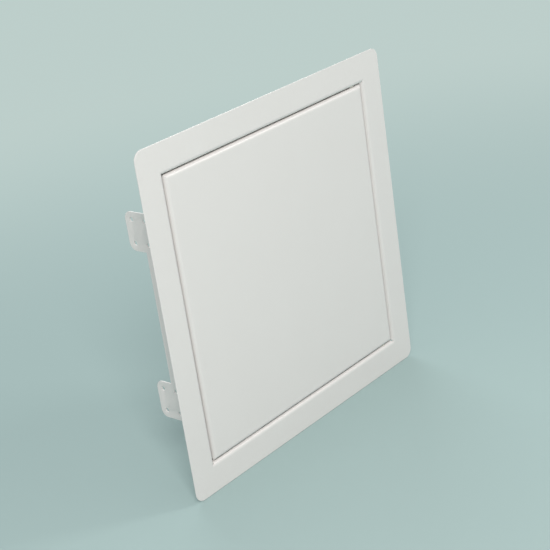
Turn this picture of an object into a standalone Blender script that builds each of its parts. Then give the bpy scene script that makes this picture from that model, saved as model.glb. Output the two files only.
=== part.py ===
"""A flush steel access panel: a picture-frame flange with fixing tabs, a plain lift-off door on
concealed pivots, and a push-to-open latch.

Metres, +Z up. The visible face looks along -Y and the void behind the ceiling or wall is at +Y. The
origin is the centre of the opening, on the plane where the flange meets the plaster. X runs across
the door from the latch at -X to the pivots at +X, and Z runs along the pivot axis."""

import math

import bmesh
import bpy
from mathutils import Matrix, Vector

# The folded sheet
SHEET = 0.0012
FACE_BEND_RADIUS = 0.003
BEND_RADIUS = 0.002
SEAT_GAP = 0.0003
CUT_MARGIN = 0.002

# The picture frame
FACE_WIDTH = 0.360
FACE_HEIGHT = 0.360
FLANGE_WIDTH = 0.0306
FLANGE_CORNER_RADIUS = 0.010
FRAME_DEPTH = 0.028
STOP_LIP_WIDTH = 0.010

# The door
DOOR_GAP = 0.002
DOOR_DEPTH = 0.020
DOOR_HEM_WIDTH = 0.0092

# Reliefs where two folds meet
RELIEF_RADIUS = 0.0014
CORNER_SLIT = 0.0006

# The fixing plates on the two side walls, with their tabs
PLATE_THICKNESS = 0.0015
PLATE_HALF_LENGTH = 0.140
PLATE_FRONT = 0.003
PLATE_END_DEPTH = 0.027
PLATE_STRIP_DEPTH = 0.037
TAB_REACH = 0.058
TAB_WIDTH = 0.040
TAB_SPACING = 0.178
TAB_CORNER_RADIUS = 0.008
TAB_ROOT_RADIUS = 0.005
TAB_HOLE_RADIUS = 0.0022
TAB_HOLE_SPACING = 0.024
TAB_HOLE_PITCH = 0.0175
TAB_HOLE_END = 0.0083

# The pivots
PIVOT_INSET = 0.012
PIVOT_BACKSET = 0.0065
PIN_RADIUS = 0.0025
PIN_REACH = 0.0034
PIN_NOSE = 0.001
RUNNING_GAP = 0.0003
BUSH_WALL = 0.0011
BUSH_COLLAR_RADIUS = 0.0044
BUSH_COLLAR_THICKNESS = 0.0008
PIVOT_BRACKET_SHEET = 0.0015
PIVOT_BRACKET_LENGTH = 0.036
PIVOT_BRACKET_REACH = 0.0085
PIVOT_BRACKET_HEM_GAP = 0.004
COLLAR_RADIUS = 0.004
COLLAR_THICKNESS = 0.0025
BOLT_HANDLE_DROP = 0.012
BOLT_HANDLE_REACH = 0.020
BOLT_HANDLE_BEND = 0.006
SPRING_WIRE_RADIUS = 0.00035
SPRING_TURNS = 9
SPRING_END_CLEARANCE = 0.0001

# The door's stiffener
STIFFENER_SHEET = 0.0010
STIFFENER_HEIGHT = 0.012
STIFFENER_CROWN = 0.024
STIFFENER_FOOT = 0.010
STIFFENER_WEB_SPREAD = 0.003
STIFFENER_END_GAP = 0.002

# The push latch
LATCH_INSET = 0.0214
LATCH_LEAD = 0.0035
LATCH_LENGTH = 0.0295
LATCH_HALF_HEIGHT = 0.014
LATCH_WALL = 0.002
LATCH_CORNER_RADIUS = 0.0015
LATCH_MOUTH_FLARE = 0.001
MOUTH_WALL_SHARE = 0.6
CARRIAGE_TRAVEL = 0.006
CARRIAGE_CHEEK = 0.0011
CARRIAGE_BASE = 0.0037
CARRIAGE_SET_BACK = 0.001
JAW_WIDTH = 0.0062
JAW_OFFSET = 0.008
JAW_EYE_RADIUS = 0.0025
JAW_EYE_ROUNDING = 0.0021
JAW_EYE_SWEEP = 1.1
JAW_REACH = 0.0112
JAW_HOOK_LENGTH = 0.0033
JAW_PIN_RADIUS = 0.0012
JAW_PIN_CHAMFER = 0.0003
JAW_PIN_INSET = 0.0001
STRIKER_SHEET = 0.0012
STRIKER_BASE = 0.014
STRIKER_HALF_WIDTH = 0.008
STRIKER_SHOULDER = 0.004
STRIKER_NECK = 0.004
STRIKER_HEAD = 0.009
STRIKER_HEAD_LENGTH = 0.003
LATCH_BRACKET_SHEET = 0.0012
LATCH_BRACKET_HALF_HEIGHT = 0.019
LATCH_BRACKET_CORNER = 0.005

# The small fasteners
RIVET_RADIUS = 0.0016
RIVET_HEAD_RADIUS = 0.0032
RIVET_HEAD_HEIGHT = 0.0010
RIVET_SPACING = 0.028
RIVET_BULB_RADIUS = 0.0024
RIVET_BULB_LENGTH = 0.0018
SCREW_RADIUS = 0.0015
SCREW_HEAD_RADIUS = 0.0028
SCREW_HEAD_HEIGHT = 0.0018
SCREW_SPACING = 0.009
SCREW_LENGTH = 0.006
LATCH_SCREW_SPACING = 0.016
LATCH_SLOT_LENGTH = 0.007
SLOT_ROUND_SHARE = 0.999

SCREW_TIP_SHARE = 0.4

# Head profiles, as shares of the head's radius and height
PAN_HEAD = ((0.6, 1.0), (0.92, 0.75), (1.0, 0.35), (1.0, 0.0))
RIVET_HEAD = ((0.55, 1.0), (0.9, 0.6), (1.0, 0.0))

# Facets
BEND_STEPS = 4
ARC_STEPS = 6
ROUND_SIDES = 20

# Places that follow from the sizes above
OPENING_HALF_WIDTH = FACE_WIDTH / 2 - FLANGE_WIDTH
OPENING_HALF_HEIGHT = FACE_HEIGHT / 2 - FLANGE_WIDTH
DOOR_HALF_WIDTH = OPENING_HALF_WIDTH - DOOR_GAP
DOOR_HALF_HEIGHT = OPENING_HALF_HEIGHT - DOOR_GAP
DOOR_BACK = DOOR_DEPTH - SHEET
FACE_MIDDLE_RADIUS = FACE_BEND_RADIUS - SHEET / 2
MIDDLE_RADIUS = BEND_RADIUS - SHEET / 2
PIVOT_X = DOOR_HALF_WIDTH - PIVOT_INSET
PIVOT_Y = PIVOT_BACKSET - SHEET
LATCH_X = -(DOOR_HALF_WIDTH - LATCH_INSET)
LATCH_MOUTH = FRAME_DEPTH - LATCH_LEAD
CARRIAGE_HALF_WIDTH = JAW_WIDTH / 2 + RUNNING_GAP + CARRIAGE_CHEEK
CAVITY_HALF_WIDTH = CARRIAGE_HALF_WIDTH + RUNNING_GAP
CAVITY_HALF_HEIGHT = LATCH_HALF_HEIGHT - LATCH_WALL
CARRIAGE_HALF_HEIGHT = CAVITY_HALF_HEIGHT - RUNNING_GAP
LATCH_HALF_WIDTH = CAVITY_HALF_WIDTH + LATCH_WALL
CARRIAGE_FRONT = LATCH_MOUTH + CARRIAGE_SET_BACK
JAW_PIVOT_Y = LATCH_MOUTH + JAW_REACH + SEAT_GAP
JAW_FRONT = JAW_PIVOT_Y - JAW_REACH
HEAD_FRONT = JAW_FRONT + JAW_HOOK_LENGTH + SEAT_GAP
STRIKER_END = HEAD_FRONT + STRIKER_HEAD_LENGTH
EYE_CLEARANCE = JAW_PIVOT_Y + JAW_EYE_SWEEP * JAW_EYE_RADIUS + RUNNING_GAP
CARRIAGE_BASE_FRONT = max(EYE_CLEARANCE, STRIKER_END + CARRIAGE_TRAVEL + 2 * RUNNING_GAP)
CARRIAGE_REAR = CARRIAGE_BASE_FRONT + CARRIAGE_BASE
CROWN_OUTSIDE = SEAT_GAP + STIFFENER_HEIGHT


def clear_scene():
    for existing in list(bpy.data.objects):
        bpy.data.objects.remove(existing, do_unlink=True)


# Materials


def surface(name, colour, roughness, metallic=0.0):
    material = bpy.data.materials.new(name)
    material.use_nodes = True
    shader = material.node_tree.nodes["Principled BSDF"]
    shader.inputs["Base Color"].default_value = (*colour, 1.0)
    shader.inputs["Roughness"].default_value = roughness
    shader.inputs["Metallic"].default_value = metallic
    return material


def white_powder_coat():
    return surface("white powder coat", (0.72, 0.73, 0.71), 0.45)


def zinc_plate():
    return surface("zinc plated steel", (0.62, 0.63, 0.64), 0.35, 1.0)


def bright_steel():
    return surface("bright steel", (0.70, 0.70, 0.70), 0.25, 1.0)


def black_nylon():
    return surface("black nylon", (0.03, 0.03, 0.032), 0.5)


def natural_nylon():
    return surface("natural nylon", (0.66, 0.63, 0.55), 0.5)


# Outlines


def left_of(direction):
    return Vector((-direction.y, direction.x))


def turned_by(vector, angle):
    return Matrix.Rotation(angle, 2) @ vector


def folded_sheet(corners, thickness, radius):
    """Both faces of a folded sheet whose middle line runs through corners with arcs at its folds."""
    corners = [Vector(corner) for corner in corners]
    middle = [(corners[0], left_of((corners[1] - corners[0]).normalized()))]
    for before, corner, after in zip(corners, corners[1:], corners[2:]):
        incoming = (corner - before).normalized()
        outgoing = (after - corner).normalized()
        turn = math.atan2(incoming.cross(outgoing), incoming.dot(outgoing))
        side = math.copysign(1.0, turn)
        start = corner - incoming * radius * math.tan(abs(turn) / 2)
        centre = start + left_of(incoming) * radius * side
        for step in range(BEND_STEPS + 1):
            normal = turned_by(left_of(incoming), turn * step / BEND_STEPS)
            middle.append((centre - normal * radius * side, normal))
    middle.append((corners[-1], left_of((corners[-1] - corners[-2]).normalized())))
    one_face = [point + normal * thickness / 2 for point, normal in middle]
    other_face = [point - normal * thickness / 2 for point, normal in middle]
    return one_face, other_face


def sheet_outline(corners, thickness, radius):
    one_face, other_face = folded_sheet(corners, thickness, radius)
    return one_face + other_face[::-1]


def rounded_outline(corners):
    """A closed outline through (u, v, radius) corners, each one rounded to its radius."""
    points = []
    count = len(corners)
    for index, (u, v, radius) in enumerate(corners):
        corner = Vector((u, v))
        before = Vector(corners[index - 1][:2])
        after = Vector(corners[(index + 1) % count][:2])
        if radius == 0:
            points.append(corner)
            continue
        incoming = (corner - before).normalized()
        outgoing = (after - corner).normalized()
        turn = math.atan2(incoming.cross(outgoing), incoming.dot(outgoing))
        side = math.copysign(1.0, turn)
        start = corner - incoming * radius * math.tan(abs(turn) / 2)
        centre = start + left_of(incoming) * radius * side
        for step in range(ARC_STEPS + 1):
            normal = turned_by(left_of(incoming), turn * step / ARC_STEPS)
            points.append(centre - normal * radius * side)
    return points


def rounded_rectangle(half_u, half_v, radius):
    return rounded_outline(
        [
            (-half_u, -half_v, radius),
            (half_u, -half_v, radius),
            (half_u, half_v, radius),
            (-half_u, half_v, radius),
        ]
    )


# Solids


def new_object(name, mesh_data, material=None):
    piece = bpy.data.objects.new(name, mesh_data)
    bpy.context.scene.collection.objects.link(piece)
    if material:
        mesh_data.materials.append(material)
    return piece


def skin(name, rings, material=None, closed=False):
    """A solid skinned over rings of points, with flat ends unless the last ring joins the first."""
    form = bmesh.new()
    rows = [[form.verts.new(point) for point in ring] for ring in rings]
    followers = rows[1:] + rows[:1] if closed else rows[1:]
    for near, far in zip(rows, followers):
        for index in range(len(near)):
            beside = (index + 1) % len(near)
            form.faces.new((near[index], near[beside], far[beside], far[index]))
    if not closed:
        form.faces.new(rows[0])
        form.faces.new(rows[-1])
    bmesh.ops.recalc_face_normals(form, faces=form.faces)
    mesh_data = bpy.data.meshes.new(name)
    form.to_mesh(mesh_data)
    form.free()
    return new_object(name, mesh_data, material)


def opening_ring(reach, y):
    """A ring of the opening's shape, with its four sides moved outwards by reach."""
    half_x = OPENING_HALF_WIDTH + reach
    half_z = OPENING_HALF_HEIGHT + reach
    return [(-half_x, y, -half_z), (half_x, y, -half_z), (half_x, y, half_z), (-half_x, y, half_z)]


def along_x(outline, start, end):
    """Rings for an outline of (y, z) points swept from x = start to x = end."""
    return [[(x, point[0], point[1]) for point in outline] for x in (start, end)]


def along_y(outline, start, end):
    """Rings for an outline of (x, z) points swept from y = start to y = end."""
    return [[(point[0], y, point[1]) for point in outline] for y in (start, end)]


def along_z(outline, start, end):
    """Rings for an outline of (x, y) points swept from z = start to z = end."""
    return [[(point[0], point[1], z) for point in outline] for z in (start, end)]


def turned(name, profile, base, axis, material=None, closed=False):
    """A turned piece: profile holds (radius, height) pairs, with heights measured from base along axis."""
    frame = Vector(axis).to_track_quat("Z", "Y").to_matrix()
    rings = []
    for radius, height in profile:
        ring = []
        for side in range(ROUND_SIDES):
            angle = 2 * math.pi * side / ROUND_SIDES
            spoke = Vector((radius * math.cos(angle), radius * math.sin(angle), height))
            ring.append(Vector(base) + frame @ spoke)
        rings.append(ring)
    piece = skin(name, rings, material, closed)
    smooth(piece)
    return piece


def smooth(piece):
    piece.data.shade_smooth()
    piece.data.set_sharp_from_angle(angle=math.radians(30))


def as_cutter(piece):
    piece.hide_render = True
    piece.display_type = "WIRE"


def combine(target, tool, operation):
    as_cutter(tool)
    change = target.modifiers.new(tool.name, "BOOLEAN")
    change.object = tool
    change.operation = operation
    change.solver = "EXACT"


def drill(target, name, holes):
    """Round holes: each one is its centre, its axis, its radius and its length."""
    form = bmesh.new()
    for centre, axis, radius, length in holes:
        turn = Vector(axis).to_track_quat("Z", "Y").to_matrix().to_4x4()
        bmesh.ops.create_cone(
            form,
            cap_ends=True,
            segments=ROUND_SIDES,
            radius1=radius,
            radius2=radius,
            depth=length,
            matrix=Matrix.Translation(centre) @ turn,
        )
    mesh_data = bpy.data.meshes.new(name)
    form.to_mesh(mesh_data)
    form.free()
    combine(target, new_object(name, mesh_data), "DIFFERENCE")


def four_corners():
    """The directions of the opening's four corners, as (x, z) signs."""
    return [(-1, -1), (1, -1), (1, 1), (-1, 1)]


def opening_corner(sign_x, sign_z, reach, y):
    """A point at one of the opening's corners, moved outwards by reach in both directions."""
    return sign_x * (OPENING_HALF_WIDTH + reach), y, sign_z * (OPENING_HALF_HEIGHT + reach)


def relieve_corners(target, fold, lip_edge, outside, back):
    """Round reliefs where two folds meet, and the open seams that run back from them."""
    front = FACE_BEND_RADIUS / 2
    reliefs = []
    for sign_x, sign_z in four_corners():
        centre = opening_corner(sign_x, sign_z, fold, front)
        reliefs.append((centre, (0, 1, 0), RELIEF_RADIUS, 4 * FACE_BEND_RADIUS))
    drill(target, target.name + "_fold_reliefs", reliefs)
    inner = lip_edge - CUT_MARGIN
    outer = outside + CUT_MARGIN
    depth = back + CUT_MARGIN - front
    size = Matrix.Diagonal(((outer - inner) * math.sqrt(2), depth, CORNER_SLIT, 1.0))
    form = bmesh.new()
    for sign_x, sign_z in four_corners():
        middle = opening_corner(sign_x, sign_z, (inner + outer) / 2, front + depth / 2)
        turn = Matrix.Rotation(-math.atan2(sign_z, sign_x), 4, "Y")
        bmesh.ops.create_cube(form, size=1.0, matrix=Matrix.Translation(middle) @ turn @ size)
    mesh_data = bpy.data.meshes.new(target.name + "_corner_seams")
    form.to_mesh(mesh_data)
    form.free()
    combine(target, new_object(mesh_data.name, mesh_data), "DIFFERENCE")


# The frame and its fixing plates


def make_frame(material):
    """One pressed blank: the flange, four walls folded back through the opening, and the stop lips."""
    outline = sheet_outline(
        [
            (FLANGE_WIDTH + CUT_MARGIN, -SHEET / 2),
            (SHEET / 2, -SHEET / 2),
            (SHEET / 2, FRAME_DEPTH - SHEET / 2),
            (-STOP_LIP_WIDTH, FRAME_DEPTH - SHEET / 2),
        ],
        SHEET,
        FACE_MIDDLE_RADIUS,
    )
    frame = skin("frame", [opening_ring(u, y) for u, y in outline], material, closed=True)
    blank = rounded_rectangle(FACE_WIDTH / 2, FACE_HEIGHT / 2, FLANGE_CORNER_RADIUS)
    combine(
        frame,
        skin("flange_outline", along_y(blank, -2 * SHEET, FRAME_DEPTH + CUT_MARGIN)),
        "INTERSECT",
    )
    relieve_corners(frame, SHEET / 2, -STOP_LIP_WIDTH, SHEET, FRAME_DEPTH)
    wall_z = OPENING_HALF_HEIGHT + SHEET / 2
    drill(
        frame,
        "bush_seats",
        [
            ((PIVOT_X, PIVOT_Y, side * wall_z), (0, 0, 1), bush_radius() + SEAT_GAP, 4 * SHEET)
            for side in (-1, 1)
        ],
    )
    drill(frame, "lip_rivet_holes", latch_rivet_holes(FRAME_DEPTH - SHEET / 2))
    return frame


def make_fixing_plate(name, side, material):
    """A flat plate spot-welded to a side wall, with two rounded tabs that screw to joists or studs."""
    near = side * (OPENING_HALF_WIDTH + SHEET + SEAT_GAP)
    far = near + side * PLATE_THICKNESS
    tab_outer = TAB_SPACING / 2 + TAB_WIDTH / 2
    tab_inner = TAB_SPACING / 2 - TAB_WIDTH / 2
    upper = [
        (PLATE_STRIP_DEPTH, tab_inner, 0),
        (TAB_REACH, tab_inner, TAB_CORNER_RADIUS),
        (TAB_REACH, tab_outer, TAB_CORNER_RADIUS),
        (PLATE_END_DEPTH, tab_outer, TAB_ROOT_RADIUS),
        (PLATE_END_DEPTH, PLATE_HALF_LENGTH, TAB_ROOT_RADIUS),
        (PLATE_FRONT, PLATE_HALF_LENGTH, TAB_ROOT_RADIUS),
    ]
    lower = [(y, -z, radius) for y, z, radius in reversed(upper)]
    plate = skin(name, along_x(rounded_outline(upper + lower), near, far), material)
    holes = []
    for tab in (-1, 1):
        for across in (-1, 1):
            for along in (0, 1):
                y = TAB_REACH - TAB_HOLE_END - along * TAB_HOLE_PITCH
                z = tab * TAB_SPACING / 2 + across * TAB_HOLE_SPACING / 2
                centre = ((near + far) / 2, y, z)
                holes.append((centre, (1, 0, 0), TAB_HOLE_RADIUS, 4 * PLATE_THICKNESS))
    drill(plate, name + "_screw_holes", holes)
    return plate


# The door


def make_door_panel(material):
    """The door pan: a plain face with four folded returns, each with a hem turned in at its back."""
    middle = -DOOR_GAP - SHEET / 2
    hem_edge = -DOOR_GAP - DOOR_HEM_WIDTH
    one_face, other_face = folded_sheet(
        [
            (hem_edge, -SHEET / 2),
            (middle, -SHEET / 2),
            (middle, DOOR_BACK - SHEET / 2),
            (hem_edge, DOOR_BACK - SHEET / 2),
        ],
        SHEET,
        FACE_MIDDLE_RADIUS,
    )
    section = one_face[1:] + other_face[:0:-1]
    panel = skin("door_panel", [opening_ring(u, y) for u, y in section], material)
    relieve_corners(panel, middle, hem_edge, -DOOR_GAP, DOOR_BACK)
    return_z = DOOR_HALF_HEIGHT - SHEET / 2
    drill(
        panel,
        "pivot_holes",
        [
            ((PIVOT_X, PIVOT_Y, side * return_z), (0, 0, 1), PIN_RADIUS + RUNNING_GAP, 4 * SHEET)
            for side in (-1, 1)
        ],
    )
    return panel


def make_stiffener(material):
    """A hat channel welded across the inside of the door's face."""
    foot_edge = STIFFENER_CROWN / 2 + STIFFENER_WEB_SPREAD + STIFFENER_FOOT
    foot_y = SEAT_GAP + STIFFENER_SHEET / 2
    crown_y = CROWN_OUTSIDE - STIFFENER_SHEET / 2
    web_foot = STIFFENER_CROWN / 2 + STIFFENER_WEB_SPREAD
    section = sheet_outline(
        [
            (foot_y, -foot_edge),
            (foot_y, -web_foot),
            (crown_y, -STIFFENER_CROWN / 2),
            (crown_y, STIFFENER_CROWN / 2),
            (foot_y, web_foot),
            (foot_y, foot_edge),
        ],
        STIFFENER_SHEET,
        MIDDLE_RADIUS,
    )
    reach = DOOR_HALF_WIDTH - SHEET - STIFFENER_END_GAP
    stiffener = skin("door_stiffener", along_x(section, -reach, reach), material)
    drill(stiffener, "crown_screw_holes", striker_screw_holes())
    return stiffener


# The pivots


def bush_radius():
    return PIN_RADIUS + RUNNING_GAP + BUSH_WALL


def bracket_face():
    """Where a pivot bracket seats against the inside of the door's end return, as a height."""
    return DOOR_HALF_HEIGHT - SHEET - SEAT_GAP


def make_bush(name, side, material):
    """A nylon bush pressed into the frame's wall, with a thrust collar in the door gap."""
    collar_z = OPENING_HALF_HEIGHT - SEAT_GAP
    bore = PIN_RADIUS + RUNNING_GAP
    profile = [
        (bore, -BUSH_COLLAR_THICKNESS),
        (BUSH_COLLAR_RADIUS, -BUSH_COLLAR_THICKNESS),
        (BUSH_COLLAR_RADIUS, 0),
        (bush_radius(), 0),
        (bush_radius(), SEAT_GAP + SHEET),
        (bore, SEAT_GAP + SHEET),
    ]
    base = (PIVOT_X, PIVOT_Y, side * collar_z)
    return turned(name, profile, base, (0, 0, side), material, closed=True)


def make_pivot_bracket(name, side, material):
    """A U bracket welded in the door's corner: its two legs guide the pin behind the door's face."""
    web_x = DOOR_HALF_WIDTH - SHEET - SEAT_GAP - PIVOT_BRACKET_SHEET / 2
    leg_x = PIVOT_X - PIVOT_BRACKET_REACH
    near_z = bracket_face() - PIVOT_BRACKET_SHEET / 2
    far_z = near_z - PIVOT_BRACKET_LENGTH
    section = sheet_outline(
        [
            (leg_x, side * near_z),
            (web_x, side * near_z),
            (web_x, side * far_z),
            (leg_x, side * far_z),
        ],
        PIVOT_BRACKET_SHEET,
        MIDDLE_RADIUS,
    )
    front = SEAT_GAP + (FACE_BEND_RADIUS - SHEET) / 2
    rear = DOOR_BACK - SHEET - PIVOT_BRACKET_HEM_GAP
    bracket = skin(name, along_y(section, front, rear), material)
    drill(
        bracket,
        name + "_pin_holes",
        [
            (
                (PIVOT_X, PIVOT_Y, side * z),
                (0, 0, 1),
                PIN_RADIUS + RUNNING_GAP,
                3 * PIVOT_BRACKET_SHEET,
            )
            for z in (near_z, far_z)
        ],
    )
    return bracket


def pin_tip():
    """The height that a pivot pin's tip reaches, through the frame's wall."""
    return OPENING_HALF_HEIGHT + SHEET + PIN_REACH


def far_leg():
    """The height of the bracket leg further from the frame, on its side towards the frame."""
    return bracket_face() - PIVOT_BRACKET_LENGTH


def make_fixed_pin(material):
    """The lower pivot pin: a headed pin with a rounded nose, held by the lower bracket."""
    tail = far_leg() - PIVOT_BRACKET_SHEET - SEAT_GAP
    length = pin_tip() - tail
    profile = [
        (COLLAR_RADIUS, -COLLAR_THICKNESS),
        (COLLAR_RADIUS, 0),
        (PIN_RADIUS, 0),
        (PIN_RADIUS, length - PIN_NOSE),
        (PIN_RADIUS - PIN_NOSE / 3, length - PIN_NOSE / 3),
        (PIN_RADIUS - PIN_NOSE, length),
    ]
    return turned("pivot_pin", profile, (PIVOT_X, PIVOT_Y, -tail), (0, 0, -1), material)


def collar_top():
    return bracket_face() - PIVOT_BRACKET_SHEET - SEAT_GAP


def make_collar(name, side, material):
    """A ring fixed on a pin just inside the bracket's near leg."""
    profile = [
        (PIN_RADIUS + SEAT_GAP, -COLLAR_THICKNESS),
        (COLLAR_RADIUS, -COLLAR_THICKNESS),
        (COLLAR_RADIUS, 0),
        (PIN_RADIUS + SEAT_GAP, 0),
    ]
    base = (PIVOT_X, PIVOT_Y, side * collar_top())
    return turned(name, profile, base, (0, 0, side), material, closed=True)


def make_bolt(material):
    """The sprung upper pivot bolt: a round rod with a rounded nose and a bent finger hold."""
    bend_z = far_leg() - PIVOT_BRACKET_SHEET - BOLT_HANDLE_DROP
    route = [
        (Vector((0, 0, pin_tip())), PIN_RADIUS - PIN_NOSE),
        (Vector((0, 0, pin_tip() - PIN_NOSE / 3)), PIN_RADIUS - PIN_NOSE / 3),
        (Vector((0, 0, pin_tip() - PIN_NOSE)), PIN_RADIUS),
    ]
    for step in range(ARC_STEPS + 1):
        angle = math.pi / 2 * step / ARC_STEPS
        x = -BOLT_HANDLE_BEND * (1 - math.cos(angle))
        z = bend_z + BOLT_HANDLE_BEND * (1 - math.sin(angle))
        route.append((Vector((x, 0, z)), PIN_RADIUS))
    route.append((Vector((-BOLT_HANDLE_REACH + PIN_NOSE, 0, bend_z)), PIN_RADIUS))
    route.append((Vector((-BOLT_HANDLE_REACH, 0, bend_z)), PIN_RADIUS - PIN_NOSE))
    rings = []
    for index, (point, radius) in enumerate(route):
        before = route[max(index - 1, 0)][0]
        after = route[min(index + 1, len(route) - 1)][0]
        direction = (after - before).normalized()
        across = Vector((direction.z, 0, -direction.x))
        ring = []
        for side in range(ROUND_SIDES):
            angle = 2 * math.pi * side / ROUND_SIDES
            spoke = across * math.cos(angle) + Vector((0, 1, 0)) * math.sin(angle)
            ring.append(Vector((PIVOT_X, PIVOT_Y, 0)) + point + spoke * radius)
        rings.append(ring)
    bolt = skin("pivot_bolt", rings, material)
    smooth(bolt)
    return bolt


def make_spring(material):
    """The compression spring between the far leg and the bolt's collar."""
    coil_radius = PIN_RADIUS + RUNNING_GAP + 2 * SPRING_WIRE_RADIUS
    low = far_leg() + SEAT_GAP + SPRING_WIRE_RADIUS
    high = collar_top() - COLLAR_THICKNESS - SEAT_GAP - SPRING_WIRE_RADIUS
    steps_per_turn = 12
    steps = SPRING_TURNS * steps_per_turn
    closed_turn = 2 * SPRING_WIRE_RADIUS + SPRING_END_CLEARANCE
    coil = bpy.data.curves.new("pivot_spring", "CURVE")
    coil.dimensions = "3D"
    coil.bevel_depth = SPRING_WIRE_RADIUS
    coil.bevel_resolution = 1
    coil.use_fill_caps = True
    line = coil.splines.new("POLY")
    line.points.add(steps)
    for step in range(steps + 1):
        angle = 2 * math.pi * step / steps_per_turn
        share = min(max((step - steps_per_turn) / (steps - 2 * steps_per_turn), 0), 1)
        wound = min(step, steps_per_turn) / steps_per_turn
        unwound = max(step - steps + steps_per_turn, 0) / steps_per_turn
        z = low + closed_turn * (wound + unwound) + (high - low - 2 * closed_turn) * share
        x = PIVOT_X + coil_radius * math.cos(angle)
        y = PIVOT_Y + coil_radius * math.sin(angle)
        line.points[step].co = (x, y, z, 1)
    coil.materials.append(material)
    spring = bpy.data.objects.new("pivot_spring", coil)
    bpy.context.scene.collection.objects.link(spring)
    return spring


# The latch on the frame


def latch_rivet_holes(y):
    """The two holes through the stop lip and the latch bracket's foot."""
    x = -(OPENING_HALF_WIDTH - STOP_LIP_WIDTH / 2)
    return [
        ((x, y, side * RIVET_SPACING / 2), (0, 1, 0), RIVET_RADIUS + SEAT_GAP, 4 * SHEET)
        for side in (-1, 1)
    ]


def latch_screw_y():
    """How far back the latch's screws sit, in the solid part of its housing."""
    return (CARRIAGE_REAR + RUNNING_GAP + LATCH_MOUTH + LATCH_LENGTH) / 2


def bracket_wing_x():
    """The middle of the latch bracket's wing, beside the housing."""
    return LATCH_X - LATCH_HALF_WIDTH - SEAT_GAP - LATCH_BRACKET_SHEET / 2


def make_latch_bracket(material):
    """An angle bracket riveted behind the stop lip, with slots that set the latch's depth."""
    foot_y = FRAME_DEPTH + SEAT_GAP + LATCH_BRACKET_SHEET / 2
    rear = LATCH_MOUTH + LATCH_LENGTH
    section = sheet_outline(
        [
            (-(OPENING_HALF_WIDTH - BEND_RADIUS), foot_y),
            (bracket_wing_x(), foot_y),
            (bracket_wing_x(), rear),
        ],
        LATCH_BRACKET_SHEET,
        MIDDLE_RADIUS,
    )
    half = LATCH_BRACKET_HALF_HEIGHT
    bracket = skin("latch_bracket", along_z(section, -half, half), material)
    wing = rounded_outline(
        [
            (FRAME_DEPTH - CUT_MARGIN, -half, 0),
            (rear, -half, LATCH_BRACKET_CORNER),
            (rear, half, LATCH_BRACKET_CORNER),
            (FRAME_DEPTH - CUT_MARGIN, half, 0),
        ]
    )
    combine(
        bracket,
        skin("wing_outline", along_x(wing, -OPENING_HALF_WIDTH, 0)),
        "INTERSECT",
    )
    drill(bracket, "foot_rivet_holes", latch_rivet_holes(foot_y))
    slot_radius = SCREW_RADIUS + SEAT_GAP
    for side in (-1, 1):
        slot = rounded_rectangle(LATCH_SLOT_LENGTH / 2, slot_radius, slot_radius * SLOT_ROUND_SHARE)
        centred = [
            (latch_screw_y() + point[0], side * LATCH_SCREW_SPACING / 2 + point[1])
            for point in slot
        ]
        x = bracket_wing_x()
        tool = skin(
            f"latch_slot_{side}", along_x(centred, x - 2 * SHEET, x + 2 * SHEET)
        )
        combine(bracket, tool, "DIFFERENCE")
    return bracket


def head_profile(shares, radius, height):
    """A fastener's head, from the middle of its top out to its rim."""
    return [(radius * across, -height * above) for across, above in shares]


def make_rivet(name, side, material):
    """A blind rivet through the stop lip and the latch bracket's foot."""
    x = -(OPENING_HALF_WIDTH - STOP_LIP_WIDTH / 2)
    grip = SHEET + SEAT_GAP + LATCH_BRACKET_SHEET
    bulb = grip + 2 * SEAT_GAP
    shoulder = (RIVET_BULB_RADIUS - RIVET_RADIUS) / 2
    profile = [
        *head_profile(RIVET_HEAD, RIVET_HEAD_RADIUS, RIVET_HEAD_HEIGHT),
        (RIVET_RADIUS, 0),
        (RIVET_RADIUS, bulb),
        (RIVET_BULB_RADIUS, bulb + shoulder),
        (RIVET_BULB_RADIUS, bulb + RIVET_BULB_LENGTH),
        (RIVET_RADIUS, bulb + RIVET_BULB_LENGTH + shoulder),
    ]
    base = (x, FRAME_DEPTH - SHEET - SEAT_GAP, side * RIVET_SPACING / 2)
    return turned(name, profile, base, (0, 1, 0), material)


def make_latch_housing(material):
    """The latch's moulded housing, with a flared mouth and a slot that the carriage slides in."""
    outside = rounded_rectangle(LATCH_HALF_WIDTH, LATCH_HALF_HEIGHT, LATCH_CORNER_RADIUS)
    placed = [(LATCH_X + point[0], point[1]) for point in outside]
    housing = skin(
        "latch_housing", along_y(placed, LATCH_MOUTH, LATCH_MOUTH + LATCH_LENGTH), material
    )
    flare = LATCH_MOUTH_FLARE
    rings = []
    for y, spread in (
        (LATCH_MOUTH - flare, 2 * flare),
        (LATCH_MOUTH + flare, 0),
        (CARRIAGE_REAR + RUNNING_GAP, 0),
    ):
        widening = min(spread, LATCH_WALL * MOUTH_WALL_SHARE)
        half_x = CAVITY_HALF_WIDTH + widening
        half_z = CAVITY_HALF_HEIGHT + widening
        rings.append(
            [
                (LATCH_X - half_x, y, -half_z),
                (LATCH_X + half_x, y, -half_z),
                (LATCH_X + half_x, y, half_z),
                (LATCH_X - half_x, y, half_z),
            ]
        )
    combine(housing, skin("latch_cavity", rings), "DIFFERENCE")
    holes = []
    for side in (-1, 1):
        centre = (LATCH_X - LATCH_HALF_WIDTH, latch_screw_y(), side * LATCH_SCREW_SPACING / 2)
        holes.append((centre, (1, 0, 0), SCREW_RADIUS + SEAT_GAP, 2 * SCREW_LENGTH))
    drill(housing, "latch_screw_holes", holes)
    return housing


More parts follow.
